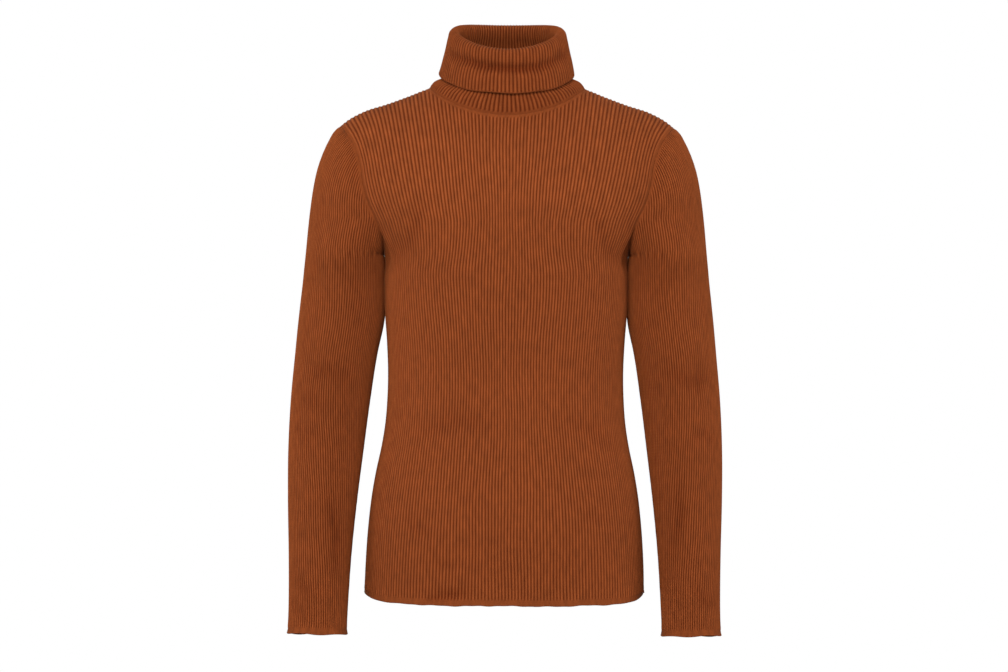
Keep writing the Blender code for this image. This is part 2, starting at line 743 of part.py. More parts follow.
def make_panel(side: int, name: str) -> bpy.types.Object:
    """The front or the back: ribs outside, a plain wall inside, and a rim all round."""
    panel, skin = PANELS[side], Skin()
    half = panel_columns(panel)
    columns = np.concatenate([-half[:0:-1], half])
    last = len(columns) - 1
    left, right = last // 2 - 9, last // 2 + 9
    places = armhole_places(side)
    high_rows = CORNER + (PANEL_TOP - CORNER) * (1 - places[CORNER_INDEX::-1] / panel.corner)
    low_rows = np.array(PANEL_ROWS)
    lower = len(low_rows) - 1

    # the coarse net that the plain inside and every edge lie on
    low = panel(columns[None, :], low_rows[:, None])
    high = panel(columns[None, left : right + 1], high_rows[1:, None])
    low_out = panel.normal(columns[None, :], low_rows[:, None])
    high_out = panel.normal(columns[None, left : right + 1], high_rows[1:, None])
    tall = np.full((len(low_rows) + len(high_rows) - 1, len(columns), 3), np.nan)
    out = tall.copy()
    tall[: len(low_rows)], out[: len(low_rows)] = low, low_out
    tall[len(low_rows) :, left : right + 1] = high
    out[len(low_rows) :, left : right + 1] = high_out
    rows = np.concatenate([low_rows, high_rows[1:]])
    top = len(rows) - 1

    # the edges, each as the places of its points in the net, and the way into the cloth there
    shift = np.zeros_like(tall)
    for turn in (1, -1):
        outer, inner = (last, right) if turn == 1 else (0, left)
        seams = {
            "side": [(r, outer) for r in range(lower + 1)],
            "under": [(lower, c) for c in range(outer, inner - turn, -turn)],
            "arm": [(r, inner) for r in range(lower, top + 1)],
        }
        for kind, edge in seams.items():
            r, c = np.array(edge).T
            points = tall[r, c]
            if kind == "side":
                inward = tall[r, c - turn] - points
            elif kind == "under":
                inward = tall[np.maximum(r - 1, 0), c] - points
            else:
                inward = tall[r, c - turn] - points
            moved = part_way(points, inward)
            keep = slice(None, -1) if kind == "under" else slice(None)
            shift[r[keep], c[keep]] += moved[keep]
        for c in range(outer, inner - turn, -turn):
            share = (abs(columns[c]) - ARMHOLE_LINE) / (1 - ARMHOLE_LINE)
            place = panel.corner + (1 - panel.corner) * share
            out[lower, c] = panel.seam_normal(columns[c], CORNER, place)
        for r in range(lower, top + 1):
            u = (rows[r] - CORNER) / (PANEL_TOP - CORNER)
            out[r, inner] = panel.seam_normal(columns[inner], CORNER, panel.corner * (1 - u))
        for r in range(lower):
            out[r, outer] = np.array([turn, 0.0, 0.0])
    r, c = np.full(right - left + 1, top), np.arange(left, right + 1)
    shift[r, c] += part_way(tall[r, c], tall[r - 1, c] - tall[r, c])
    for col in range(left + 1, right):
        out[top, col] = panel.seam_normal(columns[col], PANEL_TOP)

    outside = tall + shift
    inside = outside - out * WALL
    used = ~np.isnan(tall[..., 0])
    inner_ids = np.full(used.shape, -1)
    inner_ids[used] = skin.add(inside[used])
    skin.grid(inner_ids[: lower + 1])
    skin.grid(inner_ids[lower:, left : right + 1])
    loop = (
        [(0, c) for c in range(last)]
        + [(r, last) for r in range(lower)]
        + [(lower, c) for c in range(last, right, -1)]
        + [(r, right) for r in range(lower, top)]
        + [(top, c) for c in range(right, left, -1)]
        + [(r, left) for r in range(top, lower, -1)]
        + [(lower, c) for c in range(left, 0, -1)]
        + [(r, 0) for r in range(lower, 0, -1)]
    )
    edge_ids = np.full(used.shape, -1)
    r, c = np.array(loop).T
    edge_ids[r, c] = skin.add(outside[r, c])
    around = list(edge_ids[r, c]) + [edge_ids[r[0], c[0]]]
    around_in = list(inner_ids[r, c]) + [inner_ids[r[0], c[0]]]
    skin.strip(around, around_in)

    # the ribs
    count = 2 * PANEL_RIBS_HALF
    number = np.arange(-count + 1, count)
    inset = int(ARMHOLE_LINE * count) - 1
    middle = slice(count - 1 - inset, count + inset)
    across = number / count
    ridge = np.where(number % 2 == 0, RIB_HEIGHT, 0.0)
    low_up = np.array(RIB_ROWS_LOW)
    high_up = np.array(RIB_ROWS_HIGH)

    def raised(acr, up, height):
        return panel(acr[None, :], up[:, None]) + (
            panel.normal(acr[None, :], up[:, None]) * height[None, :, None]
        )

    ribs_low = skin.add(raised(across, low_up, ridge))
    ribs_high = skin.add(raised(across[middle], high_up, ridge[middle]))
    skin.grid(ribs_low)
    skin.grid(np.concatenate([ribs_low[-1:, middle], ribs_high]))

    # the flat strip between the ribs and each edge
    skin.lace(edge_ids[0], columns, ribs_low[0], across)
    for outer, inner, turn, rib in ((last, right, 1, -1), (0, left, -1, 0)):
        skin.lace(edge_ids[: lower + 1, outer], rows[: lower + 1], ribs_low[:, rib], low_up)
        cols = list(range(inner, outer + turn, turn))
        fine = middle.stop - 1 if turn == 1 else middle.start
        reach = list(range(fine, len(across))) if turn == 1 else list(range(fine, -1, -1))
        skin.lace(
            edge_ids[lower, cols], np.abs(columns[cols]), ribs_low[-1, reach], np.abs(across[reach])
        )
        side_ids = np.concatenate([ribs_low[-1:, fine], ribs_high[:, rib]])
        side_up = np.concatenate([low_up[-1:], high_up])
        skin.lace(edge_ids[lower:, inner], rows[lower:], side_ids, side_up)
    skin.lace(
        edge_ids[top, left : right + 1], columns[left : right + 1], ribs_high[-1], across[middle]
    )
    return skin.build(name)


SLEEVE_ROWS = (-260.0, -310.0, -370.0, -430.0, -490.0, -550.0, -610.0, -660.0, CUFF)
SLEEVE_RIB_ROWS = (0.0, 0.05, 0.13, 0.27, 0.48, 0.74, 1.0)
SLEEVE_COLUMNS = 20


def make_sleeve(name: str, mirrored: bool) -> bpy.types.Object:
    """A sleeve: ribs outside, a plain wall inside, rims at the armhole and the cuff."""
    sleeve, skin = Sleeve(), Skin()
    share = np.linspace(-1, 1, SLEEVE_COLUMNS + 1)
    cap = column(ARMHOLE, "height")
    heights = np.concatenate([cap, np.array(SLEEVE_ROWS)])
    under = len(cap) - 1
    net = sleeve(share[None, :], heights[:, None])
    out = sleeve.normal(share[None, :], heights[:, None])
    out[0] = SHOULDER_UP
    shift = np.zeros_like(net)
    ends = {}
    for side, c, step in ((FRONT, 0, 1), (BACK, SLEEVE_COLUMNS, -1)):
        places = armhole_places(side)
        net[: under + 1, c] = armhole(side, places)
        out[: under + 1, c] = armhole_normal(side, places, -1.0)
        out[under:, c] = np.array([-1.0, 0.0, 0.0])
        inward = net[: under + 1, c + step] - net[: under + 1, c]
        inward[0] = np.array([0.7, 0.0, -0.7])
        inward[under] = np.array([0.0, 0.0, -1.0])
        ends[side] = inward
    loop = np.concatenate([net[: under + 1, 0][::-1], net[1 : under + 1, -1]])
    into = np.concatenate([ends[FRONT][::-1], ends[BACK][1:]])
    moved = part_way(loop, into)
    moved[0] = moved[-1] = np.array([0.5, 0.0, -1.0]) * SEAM_GAP / 2
    shift[: under + 1, 0] = moved[: under + 1][::-1]
    shift[: under + 1, -1] = moved[under:]
    shift[0] = moved[under]
    outside = net + shift
    inside = outside - out * WALL

    inner_ids = skin.add(inside)
    inner_ids[0, :] = inner_ids[0, 0]
    inner_ids[under:, -1] = inner_ids[under:, 0]
    skin.grid(inner_ids)
    edge = skin.add(outside)
    edge[0, :] = edge[0, 0]
    edge[under:, -1] = edge[under:, 0]
    for c in (0, -1):
        skin.strip(edge[: under + 1, c], inner_ids[: under + 1, c])
    skin.strip(edge[-1], inner_ids[-1])

    # the ribs
    count = 2 * SLEEVE_RIBS_HALF
    number = np.arange(-count + 1, count)
    rib = number / count
    ridge = np.where(number % 2 == 0, RIB_HEIGHT, 0.0)
    _, ends_at = sleeve.rib(rib[None, :], np.array([[0.0], [1.0]]))
    length = ends_at[0] - ends_at[1]
    inset = np.minimum(PLAIN_EDGE / length, 0.3)
    down = inset[None, :] + (1 - 2 * inset[None, :]) * np.array(SLEEVE_RIB_ROWS)[:, None]
    where, height = sleeve.rib(rib[None, :], down)
    points = sleeve(where, height) + sleeve.normal(where, height) * ridge[None, :, None]
    ribs = skin.add(points)
    skin.grid(ribs)

    # the flat strip between the ribs and each edge
    around = np.concatenate([edge[: under + 1, 0][::-1], edge[1 : under + 1, -1]])
    cap_ribs = np.interp(cap[::-1], sleeve.fine, sleeve.ribs)[::-1]
    cap_ribs[0], cap_ribs[-1] = 0.0, 1.0
    around_at = np.concatenate([-cap_ribs[::-1], cap_ribs[1:]])
    skin.lace(around, around_at, ribs[0], rib)
    left_at_cuff = sleeve.ribs[0]
    kept = np.flatnonzero(np.abs(rib) <= left_at_cuff)
    skin.lace(edge[-1], share, ribs[-1, kept], rib[kept] / left_at_cuff)
    for c, column_ids, past in (
        (0, ribs[:, 0], range(0, kept[0] + 1)),
        (-1, ribs[:, -1], range(len(rib) - 1, kept[-1] - 1, -1)),
    ):
        past = list(past)
        ids = np.concatenate([column_ids[:-1], ribs[-1, past]])
        at = -np.concatenate([height[:-1, past[0]], height[-1, past]])
        at = np.maximum.accumulate(at)
        skin.lace(edge[under:, c], -heights[under:], ids, at)
    return skin.build(name, mirrored)


COLLAR_PLAIN_ROWS = (0.0, 1.0, 2.0, 3.0, 4.0, 5.0, 6.0, 7.0, 8.0, 9.0, 10.0, 11.0, 12.0)
COLLAR_RIB_ROWS_OUT = (0.45, 2.4)
COLLAR_RIB_ROWS_IN = (3.7, 5.2, 6.1, 7.0, 7.9, 9.0, 10.0, 11.75)


def make_collar(name: str) -> bpy.types.Object:
    """The roll neck: one wall folded over itself, with ribs wherever it shows."""
    collar, skin = Collar(), Skin()
    rows = np.interp(np.array(COLLAR_PLAIN_ROWS), np.arange(len(COLLAR)), collar.places)
    half = neck_angle(
        np.concatenate(
            [
                PANELS[FRONT](np.linspace(0, NECK_POINT, 6), PANEL_TOP),
                PANELS[BACK](np.linspace(NECK_POINT, 0, 6)[1:], PANEL_TOP),
            ]
        )
    )
    turn = np.concatenate([half, 2 * np.pi - half[-2::-1]])
    count = 2 * COLLAR_RIBS
    fine = np.linspace(0, 2 * np.pi, count + 1)
    ridge = np.where(np.arange(count + 1) % 2 == 0, RIB_HEIGHT, 0.0)

    def ring(angles, along, offset):
        middle = collar(angles[None, :], along[:, None])
        out = collar.normal(angles[None, :], along[:, None])
        ids = skin.add(middle + out * offset)
        ids[:, -1] = ids[:, 0]
        return ids

    sides = {}
    for face, ribbed in ((1, COLLAR_RIB_ROWS_OUT), (-1, COLLAR_RIB_ROWS_IN)):
        plain = ring(turn, rows, face * WALL / 2)
        places = np.interp(np.array(ribbed), np.arange(len(COLLAR)), collar.places)
        heights = face * (WALL / 2 + ridge)[None, :, None]
        ribs = ring(fine, places, heights)
        before = np.flatnonzero(rows < places[0] - 1e-6)
        after = np.flatnonzero(rows > places[-1] + 1e-6)
        skin.grid(plain[before])
        skin.lace(plain[before[-1]], turn, ribs[0], fine)
        skin.grid(ribs)
        skin.lace(plain[after[0]], turn, ribs[-1], fine)
        skin.grid(plain[after])
        sides[face] = plain
    skin.strip(sides[1][0], sides[-1][0])
    skin.strip(sides[1][-1], sides[-1][-1])
    return skin.build(name)


def main() -> None:
    for old in list(bpy.data.objects):
        bpy.data.objects.remove(old)
    make_panel(FRONT, "front")
    make_panel(BACK, "back")
    make_sleeve("sleeve_left", mirrored=False)
    make_sleeve("sleeve_right", mirrored=True)
    make_collar("collar")


if __name__ == "__main__":
    main()
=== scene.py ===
"""The looks of a close-fitting ribbed sweater with a folded roll neck, standing hollow as if worn.

Five sewn pieces of rib knit replace the plain solids of the same names: front, back, two sleeves and
the roll neck. Shapes are worked out in millimetres and become metres when a mesh is made. The wearer
faces -Y, +X is the wearer's left, and the origin is on the centre line, level with the point where the
shoulder meets the neck.
"""

import logging
from dataclasses import dataclass, field
from enum import Enum
from typing import Callable, NamedTuple

import bmesh
import bpy
import numpy as np
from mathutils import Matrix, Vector


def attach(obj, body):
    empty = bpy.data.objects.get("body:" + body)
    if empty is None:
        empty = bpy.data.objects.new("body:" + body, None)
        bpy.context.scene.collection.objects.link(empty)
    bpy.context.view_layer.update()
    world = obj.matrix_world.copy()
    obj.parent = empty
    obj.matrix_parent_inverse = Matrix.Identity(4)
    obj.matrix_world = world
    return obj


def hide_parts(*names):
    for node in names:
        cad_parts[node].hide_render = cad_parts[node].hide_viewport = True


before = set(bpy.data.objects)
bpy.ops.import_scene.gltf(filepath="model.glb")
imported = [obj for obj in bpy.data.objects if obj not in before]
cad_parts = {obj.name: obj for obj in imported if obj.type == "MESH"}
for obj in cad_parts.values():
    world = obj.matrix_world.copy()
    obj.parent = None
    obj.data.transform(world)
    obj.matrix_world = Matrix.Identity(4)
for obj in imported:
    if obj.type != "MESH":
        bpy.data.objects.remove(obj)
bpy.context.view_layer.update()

LOG = logging.getLogger("sweater")
MM = 0.001
Array = np.ndarray


class Side(Enum):
    """The half of the body, by the sign of its Y."""

    FRONT = -1
    BACK = 1

    @property
    def other(self) -> "Side":
        """The opposite half."""
        return Side(-self.value)


class Hold(Enum):
    """How a cut piece of cloth is held in the finished garment."""

    HUNG = "hung"
    FOLDED = "folded"


# Curves and directions


def column(table: tuple, name: str) -> Array:
    """One named column of a table of sizes."""
    return np.array([getattr(row, name) for row in table], float)


def through(knots: Array, values: Array, at: Array) -> Array:
    """A smooth curve through values at rising knots.

    Between two knots it is the cubic that has both values and, at each knot, the slope between the
    knot's neighbours.

    Args:
        knots: where the values are given.
        values: one number or one point for each knot.
        at: where the curve is read.

    Returns:
        The curve's values, with one more axis if the values are points.
    """
    slopes = np.gradient(values, knots, axis=0)
    at = np.clip(at, knots[0], knots[-1])
    k = np.clip(np.searchsorted(knots, at, side="right") - 1, 0, len(knots) - 2)
    step = knots[k + 1] - knots[k]
    u = (at - knots[k]) / step
    if values.ndim > 1:
        u, step = u[..., None], step[..., None]
    first = (1 + 2 * u) * (1 - u) ** 2 * values[k] + u * (1 - u) ** 2 * step * slopes[k]
    return first + u * u * (3 - 2 * u) * values[k + 1] + u * u * (u - 1) * step * slopes[k + 1]


def blend(low: float, high: float, at: Array) -> Array:
    """0 below low, 1 above high, and the cubic 3u^2 - 2u^3 between."""
    u = np.clip((at - low) / (high - low), 0, 1)
    return u * u * (3 - 2 * u)


def bezier(a: Array, b: Array, c: Array, d: Array, u: Array) -> Array:
    """A point of a cubic curve from a to d, drawn towards b and c."""
    return (1 - u) ** 3 * a + 3 * u * (1 - u) ** 2 * b + 3 * u * u * (1 - u) * c + u**3 * d


def unit(vectors: Array) -> Array:
    """Each vector at length 1."""
    return vectors / np.maximum(np.linalg.norm(vectors, axis=-1, keepdims=True), 1e-12)


def paired(first: Array, second: Array) -> list[Array]:
    """Both as arrays of numbers, brought to one shape."""
    return np.broadcast_arrays(np.asarray(first, float), np.asarray(second, float))


def chord_places(points: Array) -> Array:
    """The distance along a row of points, from 0 to 1."""
    steps = np.linalg.norm(np.diff(points, axis=0), axis=1)
    places = np.concatenate([[0.0], np.cumsum(steps)])
    return places / places[-1]


def nearest(points: Array, edge: Array) -> tuple[Array, Array]:
    """How far each point is from a finely cut edge.

    Args:
        points: any grid of points.
        edge: points along the edge, about a millimetre apart.

    Returns:
        The distance to the closest point of the edge, and that point's number.
    """
    flat = points.reshape(-1, 3)
    found, away = [], []
    for part in np.array_split(flat, max(1, len(flat) // 8000)):
        square = (part**2).sum(1)[:, None] + (edge**2).sum(1)[None, :] - 2 * part @ edge.T
        number = square.argmin(1)
        found.append(number)
        away.append(np.sqrt(np.maximum(square[np.arange(len(part)), number], 0)))
    shape = points.shape[:-1]
    return np.concatenate(away).reshape(shape), np.concatenate(found).reshape(shape)


def waves(at: Array, *parts: tuple[float, float, float]) -> Array:
    """A sum of sines, each given by its height, its length and where it starts in turns."""
    total = np.zeros_like(at)
    for height, length, start in parts:
        total = total + height * np.sin(2 * np.pi * (at / length + start))
    return total


def lobes(angle: Array, *terms: tuple[float, int, float]) -> Array:
    """Waves round a ring, each with its height, its number of lobes and its phase."""
    return waves(angle, *((height, 2 * np.pi / count, phase) for height, count, phase in terms))


class EvenCurve:
    """Cuts at many heights, each read at an even share of its own length."""

    def __init__(self, cut: Callable, low: float, high: float, levels: int = 90) -> None:
        """Measures the cuts.

        Args:
            cut: gives a point for a height and a place from 0 to 1.
            low: the lowest height.
            high: the highest height.
            levels: how many cuts are measured.
        """
        self.low, self.high, self.levels = low, high, levels
        u = np.linspace(0, 1, 65)
        heights = np.linspace(low, high, levels)
        points = cut(heights[:, None], u[None, :])
        steps = np.linalg.norm(np.diff(points, axis=1), axis=2) + 1e-6
        self.shares = np.linspace(0, 1, 49)
        rows = []
        for row in steps:
            run = np.concatenate([[0.0], np.cumsum(row)])
            rows.append(np.interp(self.shares, run / run[-1], u))
        self.chart = np.array(rows)

    def __call__(self, height: Array, share: Array) -> Array:
        """The place at a share of the cut's length, read between the four nearest measures."""
        r = np.clip((height - self.low) / (self.high - self.low), 0, 1) * (self.levels - 1)
        c = np.clip(share, 0, 1) * (len(self.shares) - 1)
        r0 = np.minimum(r.astype(int), self.levels - 2)
        c0 = np.minimum(c.astype(int), len(self.shares) - 2)
        r, c = r - r0, c - c0
        low = self.chart[r0, c0] * (1 - c) + self.chart[r0, c0 + 1] * c
        high = self.chart[r0 + 1, c0] * (1 - c) + self.chart[r0 + 1, c0 + 1] * c
        return low * (1 - r) + high * r


# The seams that the pieces share


class ArmholePoint(NamedTuple):
    """A point of the armhole seam, on its front half and on its back half."""

    x: float
    front_y: float
    back_y: float
    height: float


@dataclass
class Armhole:
    """The armhole seam at +X, read from the shoulder (0) to the underarm (1) on either half."""

    points: tuple[ArmholePoint, ...] = (
        ArmholePoint(216.5, 8, 8, -49),
        ArmholePoint(210.5, -17, 33, -57),
        ArmholePoint(202.0, -30, 46, -68),
        ArmholePoint(194.5, -40, 56, -82),
        ArmholePoint(187.5, -50, 64, -104),
        ArmholePoint(183.5, -56, 68, -128),
        ArmholePoint(177.5, -58, 69, -150),
        ArmholePoint(168.0, -56, 66, -170),
        ArmholePoint(161.8, -49, 58, -184),
        ArmholePoint(159.2, -37, 47, -198),
        ArmholePoint(158.6, -18, 31, -210),
        ArmholePoint(159.5, 8, 8, -216),
    )
    corner_row: int = 7
    middle_y: float = 8.0
    centre: tuple[float, float, float] = (190.0, 8.0, -128.0)
    shoulder_up: tuple[float, float, float] = (0.419, 0.0, 0.908)

    def loop(self, side: Side) -> tuple[Array, Array]:
        """The points on one half, with one more past each end, and their places along it."""
        names = {Side.FRONT: "front_y", Side.BACK: "back_y"}
        rows = {
            s: np.stack([column(self.points, n) for n in ("x", names[s], "height")], axis=1)
            for s in Side
        }
        points = np.concatenate([rows[side.other][1:2], rows[side], rows[side.other][-2:-1]])
        places = chord_places(points)
        low, high = places[1], places[-2]
        return (places - low) / (high - low), points

    def at(self, side: Side, place: Array) -> Array:
        """A point of the seam: a smooth curve through the loop's points."""
        knots, points = self.loop(side)
        return through(knots, points, np.asarray(place, float))

    def corner(self, side: Side) -> float:
        """The place of the corner, where the seam turns under the arm."""
        return self.loop(side)[0][1:-1][self.corner_row]

    def out(self, side: Side, place: Array, own: float) -> Array:
        """Out of the cloth at the seam.

        It points away from the armhole's centre, upwards at the shoulder, and is square to the seam.
        The two pieces share it, but for the underarm, where they lie back to back.

        Args:
            side: the half of the body.
            place: along the seam.
            own: +1 for the panel and -1 for the sleeve.

        Returns:
            Unit vectors.
        """
        point = self.at(side, place)
        along = unit(self.at(side, place + 0.01) - self.at(side, place - 0.01))
        out = unit(point - np.array(self.centre))
        sideways = blend(0.70, 1.0, place)[..., None]
        top = blend(0.20, 0.0, place)[..., None]
        out = out * (1 - sideways) + np.array([own, 0.0, 0.0]) * sideways
        out = out * (1 - top) + np.array(self.shoulder_up) * top
        out = out - along * np.sum(out * along, axis=-1, keepdims=True)
        return unit(out)


@dataclass
class NeckLine:
    """The oval of the neck seam as seen from above, and the way out of the cloth along it."""

    half_width: float = 101.5
    front_depth: float = 71.5
    back_depth: float = 64.0
    middle_y: float = 8.0
    rise: float = 36.0
    rise_at_sides: float = 22.0

    def depth(self, side: Side) -> float:
        """How far the oval reaches before or behind its middle."""
        return self.front_depth if side is Side.FRONT else self.back_depth

    def angle(self, point: Array) -> Array:
        """The angle of a point of the seam, 0 at centre front and half a turn at centre back."""
        deep = point[..., 1] - self.middle_y
        depth = np.where(deep < 0, self.front_depth, self.back_depth)
        return np.arctan2(point[..., 0] / self.half_width, -deep / depth)

    def out(self, angle: Array) -> Array:
        """Out of the cloth, halfway between the panel and the roll neck."""
        rise = np.radians(self.rise + self.rise_at_sides * np.sin(angle) ** 2)
        flat = np.cos(rise)
        return np.stack([np.sin(angle) * flat, -np.cos(angle) * flat, np.sin(rise)], axis=-1)


# The forms of the pieces, before ribs and creases


class BodySection(NamedTuple):
    """A level cut through the body: its half width, and how far it reaches before and behind."""

    height: float
    half_width: float
    front: float
    back: float


class TopPoint(NamedTuple):
    """Where a place across a panel arrives at the top of the body, and how strongly it rises.

    From the neck point outwards that is the shoulder seam. Inside the neck it is a level that the
    panel would reach if it had no neck opening.
    """

    across: float
    x: float
    front_z: float
    back_z: float
    leave: float
    arrive: float


BODY = (
    BodySection(-660, 181.0, 116, 106),
    BodySection(-620, 180.0, 114, 108),
    BodySection(-565, 176.4, 112, 106),
    BodySection(-528, 172.2, 109, 101),
    BodySection(-497, 166.9, 106, 95),
    BodySection(-466, 160.2, 104, 89),
    BodySection(-435, 155.3, 102, 84),
    BodySection(-404, 152.9, 101, 81),
    BodySection(-373, 152.1, 101, 80),
    BodySection(-330, 153.7, 105, 84),
    BodySection(-285, 157.0, 112, 92),
    BodySection(-250, 158.0, 118, 99),
    BodySection(-216, 159.5, 122, 105),
    BodySection(-205, 166.0, 122.5, 106),
    BodySection(-190, 177.0, 122.5, 107),
    BodySection(-170, 190.0, 122, 108),
)
TOP = (
    TopPoint(0.0, 0.0, 12.0, 77.0, 185, 175),
    TopPoint(0.09, 24.6, 11.0, 70.0, 187, 173),
    TopPoint(0.18, 49.2, 8.6, 51.0, 190, 170),
    TopPoint(0.27, 73.8, 4.6, 25.0, 192, 166),
    TopPoint(0.362, 101.5, 0.0, 0.0, 192, 162),
    TopPoint(0.451, 128.0, -10.2, -10.2, 184, 156),
    TopPoint(0.5385, 154.4, -20.0, -20.0, 174, 150),
    TopPoint(0.643, 186.5, -30.6, -30.6, 162, 138),
    TopPoint(0.71, 206.0, -41.0, -41.0, 154, 126),
    TopPoint(0.75, 216.5, -49.0, -49.0, 150, 118),
)


@dataclass
class PanelForm:
    """The outside of a front or back, without its ribs.

    across is -1 to 1 between the side seams. up is a height: a true one below the chest, and above it
    one that is drawn in, so that every rib ends on its own edge of the panel.
    """

    side: Side
    armhole: Armhole
    neck: NeckLine
    sections: tuple[BodySection, ...] = BODY
    tops: tuple[TopPoint, ...] = TOP
    neck_point: float = 0.362
    armhole_line: float = 0.75
    hem: float = -659.0
    chest: float = -260.0
    corner: float = -170.0
    top: float = -20.0
    middle_y: float = 8.0
    fullness: float = 0.664
    draw_in: float = 0.058
    crease_reach: float = 70.0

    def __post_init__(self) -> None:
        """Measures the level cuts, the armhole's corner and the neck opening."""
        front = self.side is Side.FRONT
        self.reach, self.top_z = ("front", "front_z") if front else ("back", "back_z")
        self.corner_place = self.armhole.corner(self.side)
        self.even = EvenCurve(self.section, self.hem - 5, self.corner + 1)
        line, level = np.array([self.armhole_line]), np.array([self.corner])
        self.seat = self.armhole_end(line) - self.body(line, level)
        self.neck_places, self.neck_reach = self.neck_cut()

    def section(self, height: Array, u: Array) -> Array:
        """A level cut: a cubic curve from the centre to the side seam, full by its fullness."""
        half = through(column(self.sections, "height"), column(self.sections, "half_width"), height)
        reach = through(column(self.sections, "height"), column(self.sections, self.reach), height)
        x = bezier(0, self.fullness * half, half, half, u)
        deep = bezier(reach, reach, self.fullness * reach, 0, u)
        y = self.middle_y + self.side.value * deep
        return np.stack(np.broadcast_arrays(x, y, height), axis=-1)

    def body(self, across: Array, height: Array) -> Array:
        """A point on the level cut at a height, drawn in a little beside the armhole."""
        far = np.abs(across)
        drawn = self.draw_in * blend(-245, self.corner, height) * np.sin(np.pi * far)
        point = self.section(height, self.even(height, far - drawn))
        point[..., 0] *= np.sign(across)
        return point

    def armhole_end(self, across: Array) -> Array:
        """Where the ribs by the side seam end, on the lower armhole."""
        share = np.clip((np.abs(across) - self.armhole_line) / (1 - self.armhole_line), 0, 1)
        place = self.corner_place + (1 - self.corner_place) * share
        point = self.armhole.at(self.side, place)
        point[..., 0] *= np.where(across < 0, -1, 1)
        return point

    def lower(self, across: Array, up: Array) -> Array:
        """A point below the level of the armhole's corner: the level cut, drawn to the armhole."""
        end = self.armhole_end(across)
        beyond = np.abs(across) > self.armhole_line
        top = np.where(beyond, end[..., 2], self.corner)
        drawn = self.chest + (up - self.chest) * (top - self.chest) / (self.corner - self.chest)
        height = np.where(up > self.chest, drawn, up)
        near = (np.clip(np.abs(across) / self.armhole_line, 0, 1) ** 6)[..., None]
        seat = self.seat * np.stack([np.sign(across)] + [np.ones_like(across)] * 2, axis=-1)
        miss = np.where(beyond[..., None], end - self.body(across, top), near * seat)
        pull = blend(self.crease_reach, 0, top - height)[..., None]
        return self.body(across, height) + miss * pull

    def rise(self, across: Array, u: Array) -> Array:
        """The cubic rise from the corner's level to the top of the body."""
        far, turn = np.abs(across), np.where(across < 0, -1, 1)
        start = self.lower(across, np.full_like(far, self.corner))
        before = self.lower(across, np.full_like(far, self.corner - 3.0))
        knots = column(self.tops, "across")
        top = {n: through(knots, column(self.tops, n), far) for n in TopPoint._fields}
        leave = (start - before) / 3.0 * top["leave"][..., None]
        level = np.full_like(far, self.middle_y)
        end = np.stack([turn * top["x"], level, top[self.top_z]], axis=-1)
        zero = np.zeros_like(far)
        arrive = np.stack([zero, -self.side.value * top["arrive"], zero], axis=-1)
        u = u[..., None]
        point = (1 + 2 * u) * (1 - u) ** 2 * start + u * (1 - u) ** 2 * leave
        return point + u * u * (3 - 2 * u) * end + u * u * (u - 1) * arrive

    def shell(self, across: Array, u: Array) -> Array:
        """The rise, drawn to the armhole at its outer end."""
        edge = np.where(across < 0, -1, 1) * self.armhole_line
        seam = self.armhole.at(self.side, self.corner_place * (1 - u))
        seam[..., 0] *= np.sign(edge)
        near = (np.clip(np.abs(across) / self.armhole_line, 0, 1) ** 5)[..., None]
        return self.rise(across, u) + near * (seam - self.rise(edge, u))

    def neck_cut(self) -> tuple[Array, Array]:
        """How far up each place across the panel the neck opening begins, where the oval cuts it."""
        across = np.linspace(0, self.neck_point, 60)
        u = np.linspace(0, 1, 500)
        points = self.shell(*np.broadcast_arrays(across[:, None], u[None, :]))
        inside = (points[..., 0] / self.neck.half_width) ** 2
        deep = (points[..., 1] - self.middle_y) / self.neck.depth(self.side)
        reach = np.array([np.interp(-1.0, -row, u) for row in inside + deep**2])
        reach[-1] = 1.0
        return across, reach

    def upper(self, across: Array, up: Array) -> Array:
        """A point between the armholes, up to the shoulder or the neck opening."""
        u = np.clip((up - self.corner) / (self.top - self.corner), 0, 1)
        return self.shell(across, u * np.interp(np.abs(across), self.neck_places, self.neck_reach))

    def __call__(self, across: Array, up: Array) -> Array:
        """A point of the panel."""
        across, up = paired(across, up)
        low = self.lower(across, np.minimum(up, self.corner))
        inside = np.clip(across, -self.armhole_line, self.armhole_line)
        high = self.upper(inside, np.maximum(up, self.corner))
        return np.where((up > self.corner)[..., None], high, low)

    def normal(self, across: Array, up: Array) -> Array:
        """Out of the cloth, from the steps to a neighbour each way."""
        across, up = paired(across, up)
        limit = np.where(up > self.corner, self.armhole_line, 1.0)
        left, right = np.maximum(across - 0.01, -limit), np.minimum(across + 0.01, limit)
        above = np.where(up > self.corner - 2, self.top, self.corner)
        down, top = np.maximum(up - 2, self.hem), np.minimum(up + 2, above)
        wide = self(right, up) - self(left, up)
        tall = self(across, top) - self(across, down)
        return unit(-self.side.value * np.cross(wide, tall))


class SleeveSection(NamedTuple):
    """A level cut through a sleeve.

    outer and inner are its two edges as x, and middle is its centre line as y. reach is how strongly
    it bulges to the front and the back. ribs is the share of the ribs that are left below the
    underarm, and tilt is how far the cut is tipped up at the front.
    """

    height: float
    outer: float
    inner: float
    middle: float
    reach: float
    ribs: float
    tilt: float


